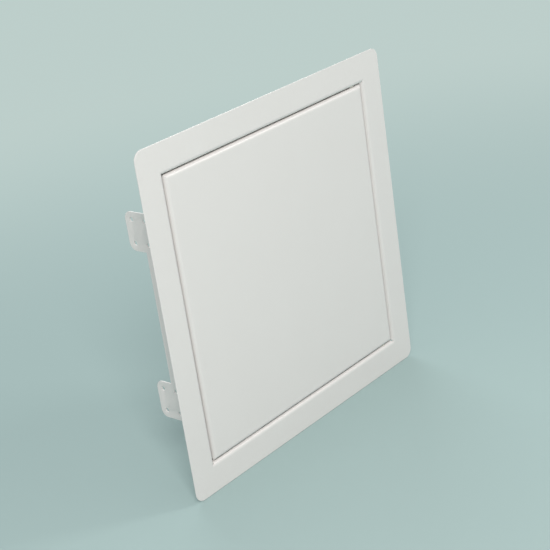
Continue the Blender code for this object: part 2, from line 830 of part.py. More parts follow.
def make_screw(name, seat, axis, material):
    """A pan-head screw whose head seats at seat and whose shank runs along axis."""
    profile = [
        *head_profile(PAN_HEAD, SCREW_HEAD_RADIUS, SCREW_HEAD_HEIGHT),
        (SCREW_RADIUS, 0),
        (SCREW_RADIUS, SCREW_LENGTH - SCREW_RADIUS),
        (SCREW_RADIUS * SCREW_TIP_SHARE, SCREW_LENGTH),
    ]
    return turned(name, profile, seat, axis, material)


def make_carriage(material):
    """The latch's sprung carriage: a fork that carries the two jaws between its cheeks."""
    outer = CARRIAGE_HALF_WIDTH
    inner = outer - CARRIAGE_CHEEK
    section = [
        (LATCH_X - outer, CARRIAGE_FRONT),
        (LATCH_X - outer, CARRIAGE_REAR),
        (LATCH_X + outer, CARRIAGE_REAR),
        (LATCH_X + outer, CARRIAGE_FRONT),
        (LATCH_X + inner, CARRIAGE_FRONT),
        (LATCH_X + inner, CARRIAGE_BASE_FRONT),
        (LATCH_X - inner, CARRIAGE_BASE_FRONT),
        (LATCH_X - inner, CARRIAGE_FRONT),
    ]
    rings = along_z(section, -CARRIAGE_HALF_HEIGHT, CARRIAGE_HALF_HEIGHT)
    carriage = skin("latch_carriage", rings, material)
    holes = []
    for side in (-1, 1):
        centre = (LATCH_X, JAW_PIVOT_Y, side * JAW_OFFSET)
        holes.append((centre, (1, 0, 0), JAW_PIN_RADIUS + SEAT_GAP, 4 * outer))
    drill(carriage, "carriage_pin_holes", holes)
    return carriage


def make_jaw(name, side, material):
    """A latch jaw: an eye on its pin, an arm beside the striker's head and a hook in front of it."""
    eye = JAW_EYE_RADIUS
    arm_inside = JAW_OFFSET - eye
    hook_edge = STRIKER_NECK / 2 + SEAT_GAP
    hook_back = JAW_FRONT + JAW_HOOK_LENGTH
    hook_middle = JAW_FRONT + JAW_HOOK_LENGTH / 2
    corners = [
        (JAW_PIVOT_Y + eye, JAW_OFFSET + eye, JAW_EYE_ROUNDING),
        (JAW_PIVOT_Y + eye, JAW_OFFSET - eye, JAW_EYE_ROUNDING),
        (hook_back, arm_inside, SEAT_GAP),
        (hook_back, hook_edge, SEAT_GAP),
        (hook_middle, hook_edge, SEAT_GAP),
        (JAW_FRONT, arm_inside - eye / 4, SEAT_GAP),
        (JAW_FRONT, JAW_OFFSET + eye / 4, eye / 3),
    ]
    outline = [Vector((y, side * z)) for y, z in rounded_outline(corners)]
    rings = along_x(outline, LATCH_X - JAW_WIDTH / 2, LATCH_X + JAW_WIDTH / 2)
    jaw = skin(name, rings, material)
    centre = (LATCH_X, JAW_PIVOT_Y, side * JAW_OFFSET)
    hole = (centre, (1, 0, 0), JAW_PIN_RADIUS + RUNNING_GAP, 2 * JAW_WIDTH)
    drill(jaw, name + "_eye", [hole])
    return jaw


def make_jaw_pin(name, side, material):
    """A plain pin with chamfered ends, through both cheeks of the carriage."""
    half = CARRIAGE_HALF_WIDTH - JAW_PIN_INSET
    profile = [
        (JAW_PIN_RADIUS - JAW_PIN_CHAMFER, -half),
        (JAW_PIN_RADIUS, -half + JAW_PIN_CHAMFER),
        (JAW_PIN_RADIUS, half - JAW_PIN_CHAMFER),
        (JAW_PIN_RADIUS - JAW_PIN_CHAMFER, half),
    ]
    base = (LATCH_X, JAW_PIVOT_Y, side * JAW_OFFSET)
    return turned(name, profile, base, (1, 0, 0), material)


# The striker on the door


def striker_screw_x():
    return LATCH_X + STRIKER_BASE / 2 + STRIKER_SHEET


def striker_screw_holes():
    """The two holes through the striker's base and the stiffener's crown."""
    y = CROWN_OUTSIDE
    return [
        (
            (striker_screw_x(), y, side * SCREW_SPACING / 2),
            (0, 1, 0),
            SCREW_RADIUS + SEAT_GAP,
            4 * STIFFENER_SHEET + 2 * STRIKER_SHEET,
        )
        for side in (-1, 1)
    ]


def make_striker(material):
    """A folded striker: a base screwed to the stiffener and a T-headed tongue that enters the latch."""
    base_y = CROWN_OUTSIDE + SEAT_GAP + STRIKER_SHEET / 2
    section = sheet_outline(
        [
            (LATCH_X + STRIKER_BASE, base_y),
            (LATCH_X, base_y),
            (LATCH_X, STRIKER_END),
        ],
        STRIKER_SHEET,
        MIDDLE_RADIUS,
    )
    half = STRIKER_HALF_WIDTH
    striker = skin("striker", along_z(section, -half, half), material)
    shoulder = base_y + STRIKER_SHEET / 2 + STRIKER_SHOULDER
    neck = STRIKER_NECK / 2
    head = STRIKER_HEAD / 2
    beyond = half + CUT_MARGIN
    for side in (-1, 1):
        corners = [
            (shoulder, neck, neck / 2),
            (HEAD_FRONT, neck, 0),
            (HEAD_FRONT, head, 0),
            (STRIKER_END + CUT_MARGIN, head, 0),
            (STRIKER_END + CUT_MARGIN, beyond, 0),
            (shoulder, beyond, 0),
        ]
        outline = [Vector((y, side * z)) for y, z in rounded_outline(corners)]
        tool = skin(
            f"striker_trim_{side}",
            along_x(outline, LATCH_X - 2 * STRIKER_SHEET, LATCH_X + 2 * STRIKER_SHEET),
        )
        combine(striker, tool, "DIFFERENCE")
    drill(striker, "base_screw_holes", striker_screw_holes())
    return striker


# The assembly


def joint_empty(name, place):
    pivot = bpy.data.objects.new(name, None)
    pivot.location = place
    bpy.context.scene.collection.objects.link(pivot)
    return pivot


def hang(piece, pivot, above=None):
    """Parents a piece to its joint's empty and keeps it where it was modelled."""
    piece.parent = pivot
    offset = Vector(pivot.location)
    if above:
        offset += Vector(above.location)
    piece.location = -offset


def build():
    clear_scene()
    white = white_powder_coat()
    zinc = zinc_plate()
    steel = bright_steel()
    black = black_nylon()
    natural = natural_nylon()

    make_frame(white)
    for name, side in (("left", -1), ("right", 1)):
        make_fixing_plate(f"fixing_plate_{name}", side, white)
    for name, side in (("upper", 1), ("lower", -1)):
        make_bush(f"pivot_bush_{name}", side, natural)
        make_rivet(f"latch_rivet_{name}", side, steel)
        seat_x = bracket_wing_x() - LATCH_BRACKET_SHEET / 2 - SEAT_GAP
        seat = (seat_x, latch_screw_y(), side * LATCH_SCREW_SPACING / 2)
        make_screw(f"latch_screw_{name}", seat, (1, 0, 0), zinc)
    make_latch_bracket(zinc)
    make_latch_housing(black)

    door_axis = joint_empty("door_pivot_axis", (PIVOT_X, PIVOT_Y, 0))
    door = [make_door_panel(white), make_stiffener(white), make_striker(zinc)]
    for name, side in (("upper", 1), ("lower", -1)):
        door.append(make_pivot_bracket(f"pivot_bracket_{name}", side, zinc))
        seat_y = CROWN_OUTSIDE + 2 * SEAT_GAP + STRIKER_SHEET
        seat = (striker_screw_x(), seat_y, side * SCREW_SPACING / 2)
        door.append(make_screw(f"striker_screw_{name}", seat, (0, -1, 0), zinc))
    door.append(make_fixed_pin(steel))
    door.append(make_collar("pin_collar", -1, steel))
    for piece in door:
        hang(piece, door_axis)

    bolt_slide = joint_empty("bolt_slide", (0, 0, 0))
    bolt_slide.parent = door_axis
    for piece in (make_bolt(steel), make_collar("bolt_collar", 1, steel), make_spring(steel)):
        hang(piece, bolt_slide, door_axis)

    latch_slide = joint_empty("latch_slide", (LATCH_X, CARRIAGE_FRONT, 0))
    hang(make_carriage(natural), latch_slide)
    for name, side in (("upper", 1), ("lower", -1)):
        hang(make_jaw_pin(f"jaw_pin_{name}", side, steel), latch_slide)
        jaw_axis = joint_empty(
            f"jaw_{name}_axis", (0, JAW_PIVOT_Y - CARRIAGE_FRONT, side * JAW_OFFSET)
        )
        jaw_axis.parent = latch_slide
        hang(make_jaw(f"latch_jaw_{name}", side, natural), jaw_axis, latch_slide)


build()
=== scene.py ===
import math

import bmesh
import bpy
from mathutils import Matrix, Vector


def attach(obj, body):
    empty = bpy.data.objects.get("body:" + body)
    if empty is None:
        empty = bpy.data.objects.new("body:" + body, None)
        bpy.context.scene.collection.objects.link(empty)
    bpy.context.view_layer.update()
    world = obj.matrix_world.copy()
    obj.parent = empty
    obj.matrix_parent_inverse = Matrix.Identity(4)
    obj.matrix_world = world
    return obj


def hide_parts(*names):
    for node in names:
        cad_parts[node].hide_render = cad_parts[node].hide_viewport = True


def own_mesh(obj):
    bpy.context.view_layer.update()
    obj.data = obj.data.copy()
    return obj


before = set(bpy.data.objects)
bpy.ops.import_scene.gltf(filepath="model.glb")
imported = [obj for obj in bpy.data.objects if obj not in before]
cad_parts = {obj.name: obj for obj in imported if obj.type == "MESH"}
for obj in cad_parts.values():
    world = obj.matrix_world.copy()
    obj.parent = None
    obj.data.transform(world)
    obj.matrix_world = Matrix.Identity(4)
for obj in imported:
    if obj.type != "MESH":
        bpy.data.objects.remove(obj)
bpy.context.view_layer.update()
scene = bpy.context.scene
scene.view_settings.view_transform = "Standard"

# The view. The panel stands on its lower edge and is seen from its latch side, from a little
# above, through a long lens. The bench under it is pale and fades into an even backdrop. A window
# lights it from the left, and a weaker lamp on the right runs a bright line along the level folds.

lens = bpy.data.cameras.new("view")
lens.sensor_width = 36.0
lens.lens = 92.23
view = bpy.data.objects.new("view", lens)
view.location = (-0.97049, -0.90352, 0.52469)
view.rotation_euler = [math.radians(turn) for turn in (67.942, 8.02, -49.594)]
scene.collection.objects.link(view)
scene.camera = view


def soft_lamp(name, place, size, power, colour, target=(0, 0, 0)):
    light = bpy.data.lights.new(name, "AREA")
    light.shape = "RECTANGLE"
    light.size, light.size_y = size
    light.energy = power
    light.color = colour
    lamp = bpy.data.objects.new(name, light)
    lamp.location = place
    towards = Vector(target) - Vector(place)
    lamp.rotation_euler = towards.to_track_quat("-Z", "Y").to_euler()
    scene.collection.objects.link(lamp)


warm = (1.0, 0.95, 0.92)
cool = (0.97, 0.99, 1.0)
soft_lamp("window", (-0.95, -1.0, 1.0), size=(0.5, 0.5), power=17.3, colour=warm)
soft_lamp("side_lamp", (0.85, -0.75, 0.80), size=(0.3, 0.3), power=3.9, colour=warm)
soft_lamp(
    "rear_fill", (1.1, 1.6, 1.1), size=(1.4, 1.0), power=14.0, colour=cool, target=(0, 0.05, 0)
)


class Channel:
    """A value in a tree of nodes. Arithmetic on it adds Math nodes to the tree."""

    def __init__(self, tree, socket=None):
        self.tree = tree
        self.socket = socket

    def fill(self, node, inputs):
        """Links or sets a node's inputs. A list links several values to one input."""
        for name, values in inputs.items():
            for value in values if isinstance(values, list) else [values]:
                if isinstance(value, Channel):
                    self.tree.links.new(value.socket, node.inputs[name])
                else:
                    node.inputs[name].default_value = value

    def node(self, kind, settings=(), inputs=(), output=0):
        family = "" if kind.startswith("GeometryNode") else "ShaderNode"
        made = self.tree.nodes.new(family + kind)
        for name, value in dict(settings).items():
            setattr(made, name, value)
        self.fill(made, dict(inputs))
        return Channel(self.tree, made.outputs[output])

    def maths(self, operation, *others):
        return self.node("Math", {"operation": operation}, dict(enumerate((self, *others))))

    def reflected(self, operation, first):
        return self.node("Math", {"operation": operation}, {0: first, 1: self})

    def __add__(self, other):
        return self.maths("ADD", other)

    def __mul__(self, other):
        return self.maths("MULTIPLY", other)

    def __sub__(self, other):
        return self.maths("SUBTRACT", other)

    def __rsub__(self, other):
        return self.reflected("SUBTRACT", other)

    def __truediv__(self, other):
        return self.maths("DIVIDE", other)

    def __rtruediv__(self, other):
        return self.reflected("DIVIDE", other)

    __radd__ = __add__
    __rmul__ = __mul__

    def length(self):
        return self.node("VectorMath", {"operation": "LENGTH"}, {0: self}, output="Value")


def seen_directly(make):
    """1 for a ray from the camera, off a gloss or through glass, 0 for light on the panel."""
    kinds = ("Camera", "Glossy", "Transmission")
    return sum(make.node("LightPath", output=f"Is {kind} Ray") for kind in kinds)


far_tone = (0.51, 0.62, 0.595, 1.0)
sky = bpy.data.worlds.new("room")
sky.use_nodes = True
room = Channel(sky.node_tree)
room_light = room.node("Background", {}, {"Color": (0.97, 1.0, 0.995, 1.0), "Strength": 0.64})
seen_wall = room.node("Background", {}, {"Color": far_tone})
room_mix = room.node("MixShader", {}, {0: seen_directly(room), 1: room_light, 2: seen_wall})
room.fill(room.tree.nodes["World Output"], {"Surface": room_mix})
scene.world = sky

SQUARE = ((-1, -1), (1, -1), (1, 1), (-1, 1))
bench_level = -0.1803
bench_half = 20.0
bench_mesh = bpy.data.meshes.new("bench")
corners = [(u * bench_half, v * bench_half, bench_level) for u, v in SQUARE]
bench_mesh.from_pydata(corners, [], [(0, 1, 2, 3)])
bench = bpy.data.objects.new("bench", bench_mesh)
scene.collection.objects.link(bench)
bench_paint = bpy.data.materials.new("bench paint")
bench_paint.use_nodes = True
floor = Channel(bench_paint.node_tree)
near_bench = floor.node(
    "BsdfPrincipled",
    {},
    {"Base Color": (0.35, 0.46, 0.455, 1.0), "Roughness": 0.9, "Specular IOR Level": 0.1},
)
far_bench = floor.node("Emission", {}, {"Color": far_tone})
distance = floor.node("TexCoord", output="Object").length()
haze = floor.node(
    "MapRange",
    {"interpolation_type": "SMOOTHSTEP"},
    {"Value": distance, "From Min": 0.35, "From Max": 1.60},
)
shares = {0: haze * seen_directly(floor), 1: near_bench, 2: far_bench}
floor.fill(
    floor.tree.nodes["Material Output"], {"Surface": floor.node("MixShader", {}, shares)}
)
bench_mesh.materials.append(bench_paint)

# The picture frame. One blank of 1.2 mm steel: a flat flange with rounded corners, four walls
# folded back through the opening, and a stop lip turned in at the back. The folds have round
# reliefs, the corners stay open, and the whole is powder coated white.

SHEET = 0.0012
BEND_RADIUS = 0.002
FACE_BEND_RADIUS = 0.004
GAP = 0.0003
OPENING = 0.2988
FLANGE_HALF = OPENING / 2 + 0.0306
FLANGE_CORNER = 0.010
FRAME_DEPTH = 0.028
STOP_LIP_EDGE = OPENING / 2 - 0.010
DOOR_HALF = OPENING / 2 - 0.002
PIVOT_X = DOOR_HALF - 0.012
PIVOT_Y = 0.0065 - SHEET
PIN_RADIUS = 0.0025
BUSH_HOLE = PIN_RADIUS + 0.0017
RIVET_X = -(OPENING / 2 - 0.005)
RIVET_SPACING = 0.028
RIVET_HOLE = 0.0019
RELIEF_RADIUS = 0.0009
RELIEF_REACH = 0.006
SEAM = 0.0006
BEYOND = 0.002


class Finish(Channel):
    """A finish, which reads the place on each piece and sets one shader's sockets."""

    def __init__(self, name):
        self.material = bpy.data.materials.new(name)
        self.material.use_nodes = True
        super().__init__(self.material.node_tree)
        self.place = self.node("TexCoord", output="Object")

    def noise(self, scale, detail=2.0, roughness=0.5):
        """Noise at one scale, or at three where it is drawn out along an axis."""
        place = self.place
        if isinstance(scale, tuple):
            place = self.node("Mapping", {}, {"Vector": place, "Scale": scale})
            scale = 1.0
        inputs = {"Vector": place, "Scale": scale, "Detail": detail, "Roughness": roughness}
        return self.node("TexNoise", {}, inputs)

    def between(self, share, first, second):
        """A colour that moves from first to second with share."""
        inputs = {0: share, 6: (*first, 1.0), 7: (*second, 1.0)}
        return self.node("Mix", {"data_type": "RGBA"}, inputs, output=2)

    def relief(self, strength, distance, height):
        inputs = {"Strength": strength, "Distance": distance, "Height": height}
        return self.node("Bump", {}, inputs)

    def shade(self, **sockets):
        """Sets the shader's sockets, with _ for a space, and gives back the material."""
        shader = self.tree.nodes["Principled BSDF"]
        self.fill(shader, {name.replace("_", " "): value for name, value in sockets.items()})
        return self.material


def powder_coat():
    """Baked polyester powder: satin white, with fine orange peel and the sheet's slight wave."""
    finish = Finish("white powder coat")
    peel = finish.noise(620.0, 2.0, 0.55)
    grit = finish.noise(2600.0, 1.0)
    cloud = finish.noise(16.0, 3.0)
    wave = finish.noise(9.0, 1.0)
    handling = finish.noise(38.0, 4.0, 0.6)
    return finish.shade(
        Base_Color=finish.between(cloud, (0.692, 0.671, 0.657), (0.706, 0.686, 0.674)),
        Roughness=0.24 + handling * 0.08 + peel * 0.04,
        Normal=finish.relief(0.55, 0.00010, peel * 0.8 + grit * 0.1 + wave * 3.0),
        IOR=1.5,
        Specular_IOR_Level=0.45,
    )


def left_of(direction):
    return Vector((-direction.y, direction.x))


def spin(vector, angle):
    return Matrix.Rotation(angle, 2) @ vector


def rounded_corner(before, corner, after, radius, steps, support):
    """Points and normals round a corner, with a support point before the arc and after it."""
    incoming = (corner - before).normalized()
    outgoing = (after - corner).normalized()
    turn = math.atan2(incoming.cross(outgoing), incoming.dot(outgoing))
    side = math.copysign(1.0, turn)
    begin = corner - incoming * radius * math.tan(abs(turn) / 2)
    finish = corner + outgoing * radius * math.tan(abs(turn) / 2)
    centre = begin + left_of(incoming) * radius * side
    points = [(begin - incoming * support, left_of(incoming))]
    for step in range(steps + 1):
        normal = spin(left_of(incoming), turn * step / steps)
        points.append((centre - normal * radius * side, normal))
    return points + [(finish + outgoing * support, left_of(outgoing))]


def folded_faces(corners, thickness, radius, steps=9, support=0.0004):
    """Both faces of a folded sheet, from its middle line, with a support line at each fold."""
    corners = [Vector(corner) for corner in corners]
    middle = [(corners[0], left_of((corners[1] - corners[0]).normalized()))]
    for three in zip(corners, corners[1:], corners[2:]):
        middle += rounded_corner(*three, radius, steps, support)
    middle.append((corners[-1], left_of((corners[-1] - corners[-2]).normalized())))
    one_face = [point + normal * thickness / 2 for point, normal in middle]
    other_face = [point - normal * thickness / 2 for point, normal in middle]
    return one_face, other_face


def quarter_round(softness, steps=3):
    """For a soft edge, how far each point lies in from the rim, and down from the face."""
    angles = [math.pi / 2 * step / steps for step in range(steps + 1)]
    return [(softness * (1 - math.sin(a)), softness * (1 - math.cos(a))) for a in angles]


def cut_edge(one_end, other_end, outwards, softness, support=0.0004):
    """A sheared edge from one face's end to the other's, rounded off by the coating."""
    across = (other_end - one_end).normalized()
    rounds = quarter_round(softness)
    points = [one_end - outwards * (softness + support)]
    points += [one_end - outwards * depth + across * down for depth, down in rounds]
    points += [other_end - outwards * depth - across * down for depth, down in rounds[::-1]]
    return points + [other_end - outwards * (softness + support)]


def add_solid(form, rings, closed=False):
    """Skins rings of points in form, with flat ends unless the last ring joins the first."""
    rows = [[form.verts.new(point) for point in ring] for ring in rings]
    for near, far in zip(rows, rows[1:] + rows[:1] if closed else rows[1:]):
        for index in range(len(near)):
            beside = (index + 1) % len(near)
            form.faces.new((near[index], near[beside], far[beside], far[index]))
    if not closed:
        form.faces.new(rows[0])
        form.faces.new(rows[-1])


def placed(name, form):
    """An object of what form holds, with its faces outwards."""
    bmesh.ops.recalc_face_normals(form, faces=form.faces)
    mesh = bpy.data.meshes.new(name)
    form.to_mesh(mesh)
    form.free()
    piece = bpy.data.objects.new(name, mesh)
    scene.collection.objects.link(piece)
    return piece


def skinned(name, rings, closed=False):
    """A piece skinned over rings of points."""
    form = bmesh.new()
    add_solid(form, rings, closed)
    return placed(name, form)


def square_ring(half, y, radius=0.0, spread=0.010, steps=4):
    """A square ring of the face, with as many points when its corners are round as when sharp."""
    points = []
    for corner in range(4):
        turn = Matrix.Rotation(math.pi / 2 * corner, 2)
        for step in range(-steps, steps + 1):
            if radius > 0:
                angle = math.pi / 4 * step / steps
                bow = spin(Vector((math.sqrt(0.5), math.sqrt(0.5))), angle) * radius
                point = Vector((half - radius, half - radius)) + bow
            else:
                slide = spread * abs(step) / steps
                point = Vector((half, half - slide) if step < 0 else (half - slide, half))
            point = turn @ point
            points.append((point.x, y, point.y))
    return points


def turned_rings(profile, base, axis, sides):
    """The rings of a turned solid, from (radius, height) points along axis from base."""
    turn = Vector(axis).to_track_quat("Z", "Y").to_matrix()
    rings = []
    for radius, height in profile:
        ring = []
        for side in range(sides):
            angle = 2 * math.pi * side / sides
            spoke = Vector((radius * math.cos(angle), radius * math.sin(angle), height))
            ring.append(Vector(base) + turn @ spoke)
        rings.append(ring)
    return rings


def settle(piece):
    """Makes the piece's modifiers part of its mesh."""
    graph = bpy.context.evaluated_depsgraph_get()
    mesh = bpy.data.meshes.new_from_object(piece.evaluated_get(graph))
    piece.modifiers.clear()
    piece.data = mesh


def carve(piece, form, operation="DIFFERENCE"):
    """Cuts the piece with the closed solids in form, and leaves it a plain mesh."""
    tool = placed("tool", form)
    change = piece.modifiers.new("cut", "BOOLEAN")
    change.object = tool
    change.operation = operation
    change.solver = "EXACT"
    settle(piece)
    bpy.data.objects.remove(tool, do_unlink=True)
    form = bmesh.new()
    form.from_mesh(piece.data)
    bmesh.ops.dissolve_degenerate(form, dist=1e-6, edges=form.edges)
    form.to_mesh(piece.data)
    form.free()


def drill(piece, places, axis, radius, thickness, softness=0.00015, sides=32):
    """Cuts round holes through a sheet, and takes the sharpness off their rims."""
    profile = [(radius + softness, thickness)]
    for spread, down in quarter_round(softness):
        profile.append((radius + spread, thickness / 2 - down))
    profile += [(width, -height) for width, height in reversed(profile)]
    form = bmesh.new()
    for place in places:
        add_solid(form, turned_rings(profile, place, axis, sides))
    carve(piece, form)


def mirrored(x, y, z):
    """A place in the lower half, and the same place in the upper half."""
    return [(x, y, -z), (x, y, z)]


def hand_over(piece, finish, body, slot, *nodes):
    """Gives the finished piece its shading and finish and puts it on its body."""
    piece.data.shade_smooth()
    piece.data.set_sharp_from_angle(angle=math.radians(31))
    piece.data.materials.clear()
    piece.data.materials.append(finish)
    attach(piece, body)
    if nodes:
        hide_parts(*nodes)


def open_corners(piece, fold, relief_front, lip_edge, outside, seam_front, back):
    """Round reliefs where two folds meet, and the open seams that run back from them."""
    reliefs = [(u * fold, relief_front + RELIEF_REACH, v * fold) for u, v in SQUARE]
    drill(piece, reliefs, (0, 1, 0), RELIEF_RADIUS, RELIEF_REACH)
    form = bmesh.new()
    inner = (lip_edge - BEYOND) * math.sqrt(2)
    outer = (outside + BEYOND) * math.sqrt(2)
    rear = back + BEYOND
    for quarter in range(4):
        size = Matrix.Diagonal((outer - inner, rear - seam_front, SEAM, 1.0))
        place = Matrix.Translation(((inner + outer) / 2, (seam_front + rear) / 2, 0))
        turn = Matrix.Rotation(math.pi / 4 + math.pi / 2 * quarter, 4, "Y")
        bmesh.ops.create_cube(form, size=1.0, matrix=turn @ place @ size)
    carve(piece, form)


wall = OPENING / 2 + SHEET / 2
front_face, back_face = folded_faces(
    [
        (FLANGE_HALF, -SHEET / 2),
        (wall, -SHEET / 2),
        (wall, FRAME_DEPTH - SHEET / 2),
        (STOP_LIP_EDGE, FRAME_DEPTH - SHEET / 2),
    ],
    SHEET,
    FACE_BEND_RADIUS - SHEET / 2,
)
lip_cut = cut_edge(front_face[-1], back_face[-1], Vector((-1, 0)), softness=0.0002)
flange_cut = cut_edge(back_face[0], front_face[0], Vector((1, 0)), softness=0.0003)
outline = front_face[1:-1] + lip_cut + back_face[-2:0:-1] + flange_cut
rings = []
for index, point in enumerate(outline):
    at_rim = index >= len(outline) - len(flange_cut)
    corner = FLANGE_CORNER - (FLANGE_HALF - point.x) if at_rim else 0.0
    rings.append(square_ring(point.x, point.y, corner))
picture_frame = skinned("picture_frame", rings, closed=True)
open_corners(
    picture_frame,
    fold=wall,
    relief_front=-0.001,
    lip_edge=STOP_LIP_EDGE,
    outside=OPENING / 2 + SHEET,
    seam_front=0.0015,
    back=FRAME_DEPTH,
)
holes = mirrored(RIVET_X, FRAME_DEPTH - SHEET / 2, RIVET_SPACING / 2)
drill(picture_frame, holes, (0, 1, 0), RIVET_HOLE, SHEET)
drill(picture_frame, mirrored(PIVOT_X, PIVOT_Y, wall), (0, 0, 1), BUSH_HOLE, SHEET)
coat = powder_coat()
hand_over(picture_frame, coat, "frame", "white_powder_coat", "frame")

# The door. A plain pan of the same steel: a flat face with four folded returns and a hem turned
# in at the back of each. Its corners are relieved and left open like the frame's, and each end
# return has a hole for a pivot pin. It is a hair longer than wide, so its end gaps are narrower.

DOOR_BACK = 0.020 - SHEET
HEM_EDGE = DOOR_HALF - 0.0092
END_GAIN = 0.0005

return_wall = DOOR_HALF - SHEET / 2
front_face, back_face = folded_faces(
    [
        (0, -SHEET / 2),
        (return_wall, -SHEET / 2),
        (return_wall, DOOR_BACK - SHEET / 2),
        (HEM_EDGE, DOOR_BACK - SHEET / 2),
    ],
    SHEET,
    FACE_BEND_RADIUS - SHEET / 2,
)
hem_cut = cut_edge(front_face[-1], back_face[-1], Vector((-1, 0)), softness=0.0002)
outline = front_face[1:-1] + hem_cut + back_face[-2:0:-1]
door_leaf = skinned("door_leaf", [square_ring(point.x, point.y) for point in outline])
open_corners(
    door_leaf,
    fold=return_wall,
    relief_front=0.0022,
    lip_edge=HEM_EDGE,
    outside=DOOR_HALF,
    seam_front=0.0024,
    back=DOOR_BACK,
)
drill(door_leaf, mirrored(PIVOT_X, PIVOT_Y, return_wall), (0, 0, 1), PIN_RADIUS + GAP, SHEET)
for corner in door_leaf.data.vertices:
    corner.co.z += math.copysign(END_GAIN, corner.co.z)
hand_over(door_leaf, coat, "door", "white_powder_coat", "door_panel")

# The fixing plates. One flat plate of 1.5 mm steel spot-welded to each side wall, cut with two
# rounded tabs that stand out behind the flange and take four screws each. They are coated with
# the frame.

PLATE = 0.0015
PLATE_HALF_LENGTH = 0.140
PLATE_FRONT = 0.003
PLATE_BACK = 0.027
PLATE_CORNER = 0.005
STRIP_BACK = 0.037
TAB_BACK = 0.058
TAB_SPACING = 0.178
TAB_HALF = 0.020
TAB_CORNER = 0.008
HOLE_RADIUS = 0.0022
HOLE_OFFSET = 0.012
HOLE_ROWS = (0.0497, 0.0322)


def rounded_outline(corners, steps=8, support=0.0):
    """A closed outline through (u, v, radius) corners, each one rounded to its radius."""
    points = []
    for index, (u, v, radius) in enumerate(corners):
        corner = Vector((u, v))
        if radius == 0:
            points.append(corner)
            continue
        before = Vector(corners[index - 1][:2])
        after = Vector(corners[(index + 1) % len(corners)][:2])
        arc = rounded_corner(before, corner, after, radius, steps, support)
        points += [point for point, normal in (arc if support > 0 else arc[1:-1])]
    return points


def inset(outline, distance):
    """The outline moved in by distance, at an even width all round."""
    area = sum(a.cross(b) for a, b in zip(outline, outline[1:] + outline[:1]))
    inwards = math.copysign(1.0, area)
    moved = []
    for index, point in enumerate(outline):
        incoming = left_of((point - outline[index - 1]).normalized())
        outgoing = left_of((outline[(index + 1) % len(outline)] - point).normalized())
        normal = (incoming + outgoing).normalized()
        moved.append(point + normal * inwards * distance / normal.dot(incoming))
    return moved


def plate_layers(outline, near, far, softness, support=0.0004):
    """The layers of a flat plate from near to far, with its cut edges rounded off."""
    inwards = math.copysign(1.0, far - near)
    layers = [(near, inset(outline, softness + support))]
    for depth, down in quarter_round(softness):
        layers.append((near + inwards * down, inset(outline, depth)))
    return layers + [(near + far - level, ring) for level, ring in reversed(layers)]


inner = TAB_SPACING / 2 - TAB_HALF
outer = TAB_SPACING / 2 + TAB_HALF
upper_half = [
    (STRIP_BACK, inner, 0),
    (TAB_BACK, inner, TAB_CORNER),
    (TAB_BACK, outer, TAB_CORNER),
    (PLATE_BACK, outer, PLATE_CORNER),
    (PLATE_BACK, PLATE_HALF_LENGTH, PLATE_CORNER),
    (PLATE_FRONT, PLATE_HALF_LENGTH, PLATE_CORNER),
]
shape = rounded_outline(upper_half + [(y, -z, r) for y, z, r in reversed(upper_half)])
for name, side in (("left", -1), ("right", 1)):
    near = side * (OPENING / 2 + SHEET + GAP)
    far = near + side * PLATE
    rings = []
    for x, ring in plate_layers(shape, near, far, softness=0.00025):
        rings.append([(x, point.x, point.y) for point in ring])
    plate = skinned("tab_plate_" + name, rings)
    holes = []
    for z in (TAB_SPACING / 2 - HOLE_OFFSET, TAB_SPACING / 2 + HOLE_OFFSET):
        for y in HOLE_ROWS:
            holes += mirrored((near + far) / 2, y, z)
    drill(plate, holes, (1, 0, 0), HOLE_RADIUS, PLATE)
    hand_over(plate, coat, "frame", "white_powder_coat", "fixing_plate_" + name)

# The spot welds. Where the copper tips pressed the sheets together they left shallow craters with
# a soft rim: a row on each fixing plate over the side wall, and one on each foot of the
# stiffener.


class Tree(Channel):
    """A geometry tree with named inputs, which ends by giving its mesh a finish."""

    def __init__(self, name, **sizes):
        super().__init__(bpy.data.node_groups.new(name, "GeometryNodeTree"))
        self.identifiers = {}
        for name, kind in {**sizes, "Finish": "Material"}.items():
            label = name.replace("_", " ")
            kind = "NodeSocket" + kind
            made = self.tree.interface.new_socket(label, in_out="INPUT", socket_type=kind)
            self.identifiers[name] = made.identifier
        kind = "NodeSocketGeometry"
        self.tree.interface.new_socket("Geometry", in_out="OUTPUT", socket_type=kind)
        self.entry = self.tree.nodes.new("NodeGroupInput")

    def given(self, *names):
        """The named inputs, in a list."""
        outputs = self.entry.outputs
        return [Channel(self.tree, outputs[name.replace("_", " ")]) for name in names]

    def upright(self, height):
        return self.node("CombineXYZ", {}, {2: height})

    def finish_with(self, geometry):
        real = self.node("GeometryNodeRealizeInstances", {}, {"Geometry": geometry})
        inputs = {"Geometry": real, "Material": self.given("Finish")[0]}
        painted = self.node("GeometryNodeSetMaterial", {}, inputs)
        self.fill(self.tree.nodes.new("NodeGroupOutput"), {0: painted})

    def finish_row(self, piece):
        """Repeats the piece along a straight row, and finishes it."""
        count, start, spacing, turn = self.given("Count", "Start", "Spacing", "Turn")
        inputs = {"Count": count, "Start Location": start, "Offset": spacing}
        row = self.node("GeometryNodeMeshLine", {}, inputs)
        inputs = {"Points": row, "Instance": piece, "Rotation": turn}
        self.finish_with(self.node("GeometryNodeInstanceOnPoints", {}, inputs))

    def make(self, name, **sizes):
        """A plain mesh made by the tree at these sizes."""
        piece = bpy.data.objects.new(name, bpy.data.meshes.new(name))
        scene.collection.objects.link(piece)
        change = piece.modifiers.new(name, "NODES")
        change.node_group = self.tree
        for size, value in sizes.items():
            change[self.identifiers[size]] = value
        settle(piece)
        return piece


